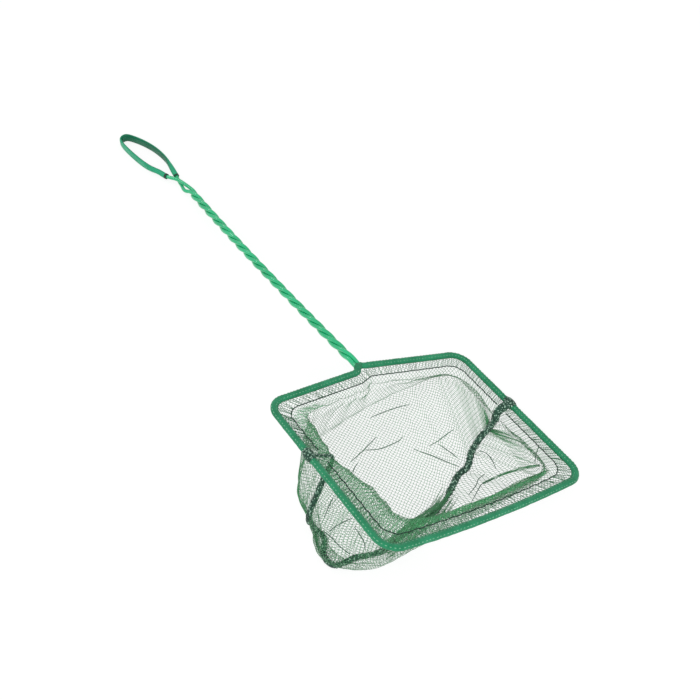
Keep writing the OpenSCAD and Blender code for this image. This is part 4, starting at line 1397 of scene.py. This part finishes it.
def make_wrap(side, label):
    """Seam wrap: the seam's end turned over the binding, a lump thickest halfway, with its
    thread wound over it."""
    def line(u):
        down = wrap_y(side) + (u - 0.5) * WRAP_LENGTH * side
        return np.stack([np.full(len(u), rim_x(side)), down], axis=1)

    def bulge(u):
        return WRAP_T * mix(WRAP_END_SHARE, 1.0, np.sin(math.pi * u))[:, None]

    u = np.linspace(0, 1, WRAP_RINGS)
    t = turns(WRAP_SIDES)
    lumps = 1 + uneven(u, t, 70 + side, WRAP_WAVES)
    r = TAPE_R + TAPE_GAP - TAPE_SINK + bulge(u) * lumps
    outer = about_rim(line(u), r[..., None] * around(t))
    inner = about_rim(line(u), (TAPE_R + SEAM_LIFT) * around(t)[None])
    a = np.linspace(0, 2 * math.pi * WRAP_ROUNDS, WRAP_THREAD_POINTS)
    v = np.linspace(*WRAP_THREAD_SPAN, WRAP_THREAD_POINTS)
    winding = (TAPE_R + TAPE_GAP + bulge(v) + SEAM_LIFT) * around(a)
    coil = about_rim(line(v), winding[:, None])[:, 0]
    thread = rod(coil, WRAP_THREAD_R, WINDING_SIDES, carried_frames(coil, (0.1, 0.9, 0.2)))
    lump = skin(np.concatenate([outer, inner[::-1]]), wrapped=True)
    points, tris, _ = joined([lump, thread])
    make_piece("wrap_" + label, (above_table(points, SEAM_LIFT), tris, None), SEAM,
               ["seam_wrap_" + label])


def make_creases():
    """Pinched folds in the netting: a narrow one is a single dark line that tapers out, its colour
    partly the bunched threads and partly painted shade of the fold, and a wide one is a bunch of
    threads that wander across its width and part at its ends."""
    lines, bunches = [], []
    u = np.linspace(0, 1, CREASE_STEPS)
    swell = CREASE_END_R + CREASE_SWELL * np.sqrt(np.sin(math.pi * u).clip(0))
    for i, (width, height, places) in enumerate(CREASES):
        if height is not None:
            places = with_height(np.array(places), height)
        path = curve_at(places, u * (len(places) - 1)) - NECK_PLACE
        path[:, 2] += CREASE_WAVER * line_noise(u * 6, 80 + i)
        if not width:
            lines.append(rod(path, swell, WINDING_SIDES))
            continue
        for k, at in enumerate(np.linspace(-0.5, 0.5, BUNCH_THREADS)):
            moved = path.copy()
            moved[:, 1] += width * (at + BUNCH_STRAY * line_noise(u * 5, 110 + i, k))
            moved[:, 2] += BUNCH_RISE * line_noise(u * 4, 120 + i, k)
            bunches.append(rod(moved, NET_THREAD_R, BUNCH_SIDES))
    make_piece("crease_lines", joined(lines), CREASE_BUNCH_AND_SHADE)
    make_piece("crease_folds", joined(bunches), NETTING)


def make_neck_cloth():
    """Loose end of binding turned over the two legs at the neck: a short uneven roll from one
    leg to the other, thickest halfway."""
    left, right = [neck_bend(side)[NECK_CLOTH_START] for side in (-1, 1)]
    middle = (left + right) / 2 + (0.0, NECK_CLOTH_BOW)
    u = np.linspace(0, 2, 41)
    t = turns(TAPE_SIDES)
    lumps = 1 + uneven(u, t, 75, NECK_CLOTH_WAVES)
    thick = mix(NECK_CLOTH_END_SHARE, 1, np.sqrt(np.sin(math.pi * u / 2).clip(0)))[:, None]
    r = (TAPE_R + NECK_CLOTH_EXTRA) * thick * lumps
    roll = about_rim(curve_at([left, middle, right], u), r[..., None] * around(t))
    make_piece("neck_cloth", skin(roll), TAPE, laid=True)


def make_floor():
    """White floor under the object. The camera sees it as white with the object's own faint
    shadow, mirrors see it white, and it lights the object as plain white paper does."""
    mesh = bpy.data.meshes.new("floor")
    mesh.from_pydata([(x * FLOOR_HALF, y * FLOOR_HALF, 0)
                      for x, y in ((-1, -1), (1, -1), (1, 1), (-1, 1))], [], [(0, 1, 2, 3)])
    material = bpy.data.materials.new("white_floor")
    material.use_nodes = True
    tree = material.node_tree
    tree.nodes.clear()
    add, maths = node_tools(tree)
    rays = add("ShaderNodeLightPath").outputs
    mirrored = maths("MAXIMUM", rays["Is Glossy Ray"], rays["Is Transmission Ray"])
    seen = maths("MAXIMUM", rays["Is Camera Ray"], mirrored)
    paper, shadow = [add("ShaderNodeBsdfDiffuse", Color=(white, white, white, 1)).outputs[0]
                     for white in (PAPER_WHITE, SHADOW_WHITE)]
    glow = add("ShaderNodeEmission", Strength=PAPER_GLOW).outputs[0]
    white = add("ShaderNodeAddShader", None, {0: shadow, 1: glow}).outputs[0]
    look = add("ShaderNodeMixShader", None, {0: seen, 1: paper, 2: white}).outputs[0]
    add("ShaderNodeOutputMaterial", Surface=look)
    mesh.materials.append(material)
    floor = bpy.data.objects.new("floor", mesh)
    bpy.context.scene.collection.objects.link(floor)


def stood(name, data, place, back):
    """New object at a place, with its third axis along back and its first one level."""
    side = unit(np.cross((0.0, 0.0, 1.0), back))
    up = np.cross(back, side)
    made = bpy.data.objects.new(name, data)
    made.matrix_world = Matrix([[side[i], up[i], back[i], place[i]] for i in range(3)]
                               + [[0, 0, 0, 1]])
    bpy.context.scene.collection.objects.link(made)
    return made


def make_light():
    """Soft studio light: an even sky that the camera sees white, a lamp low on the left in
    front, a weaker one on the right and a small one behind, whose reflection runs along the
    wires."""
    world = bpy.data.worlds.new("studio")
    bpy.context.scene.world = world
    world.use_nodes = True
    tree = world.node_tree
    add, maths = node_tools(tree)
    sky = tree.nodes["Background"]
    sky.inputs["Color"].default_value = (1, 1, 1, 1)
    rays = add("ShaderNodeLightPath").outputs
    seen = maths("MAXIMUM", rays["Is Transmission Ray"], rays["Is Camera Ray"])
    level = add("ShaderNodeMapRange", Value=seen, To_Min=SKY_STRENGTH, To_Max=1.0)
    tree.links.new(level.outputs["Result"], sky.inputs["Strength"])
    for name, (place, watts, size) in LAMPS.items():
        lamp = bpy.data.lights.new(name, "AREA")
        lamp.energy = watts
        lamp.size = size
        stood(name, lamp, place, unit(np.array(place) - LAMP_AIM))


def make_camera():
    """Camera at the photograph's place, turned to its heading and down by its pitch."""
    lens = bpy.data.cameras.new("photo_camera")
    lens.sensor_width = SENSOR_MM
    lens.lens = LENS_MM
    lens.clip_start = 0.01
    back = (np.array([0.0, 0.0, math.sin(CAMERA_PITCH)])
            - unit(np.array(CAMERA_HEADING)) * math.cos(CAMERA_PITCH))
    bpy.context.scene.camera = stood("photo_camera", lens, CAMERA_PLACE, back)


bpy.context.scene.view_settings.view_transform = "Standard"
make_wires()
make_sleeve()
make_mouth_shade_rings()
make_binding_set()
make_bag()
make_seam()
make_wrap(-1, "left")
make_wrap(1, "right")
make_creases()
make_neck_cloth()
make_floor()
make_light()
make_camera()
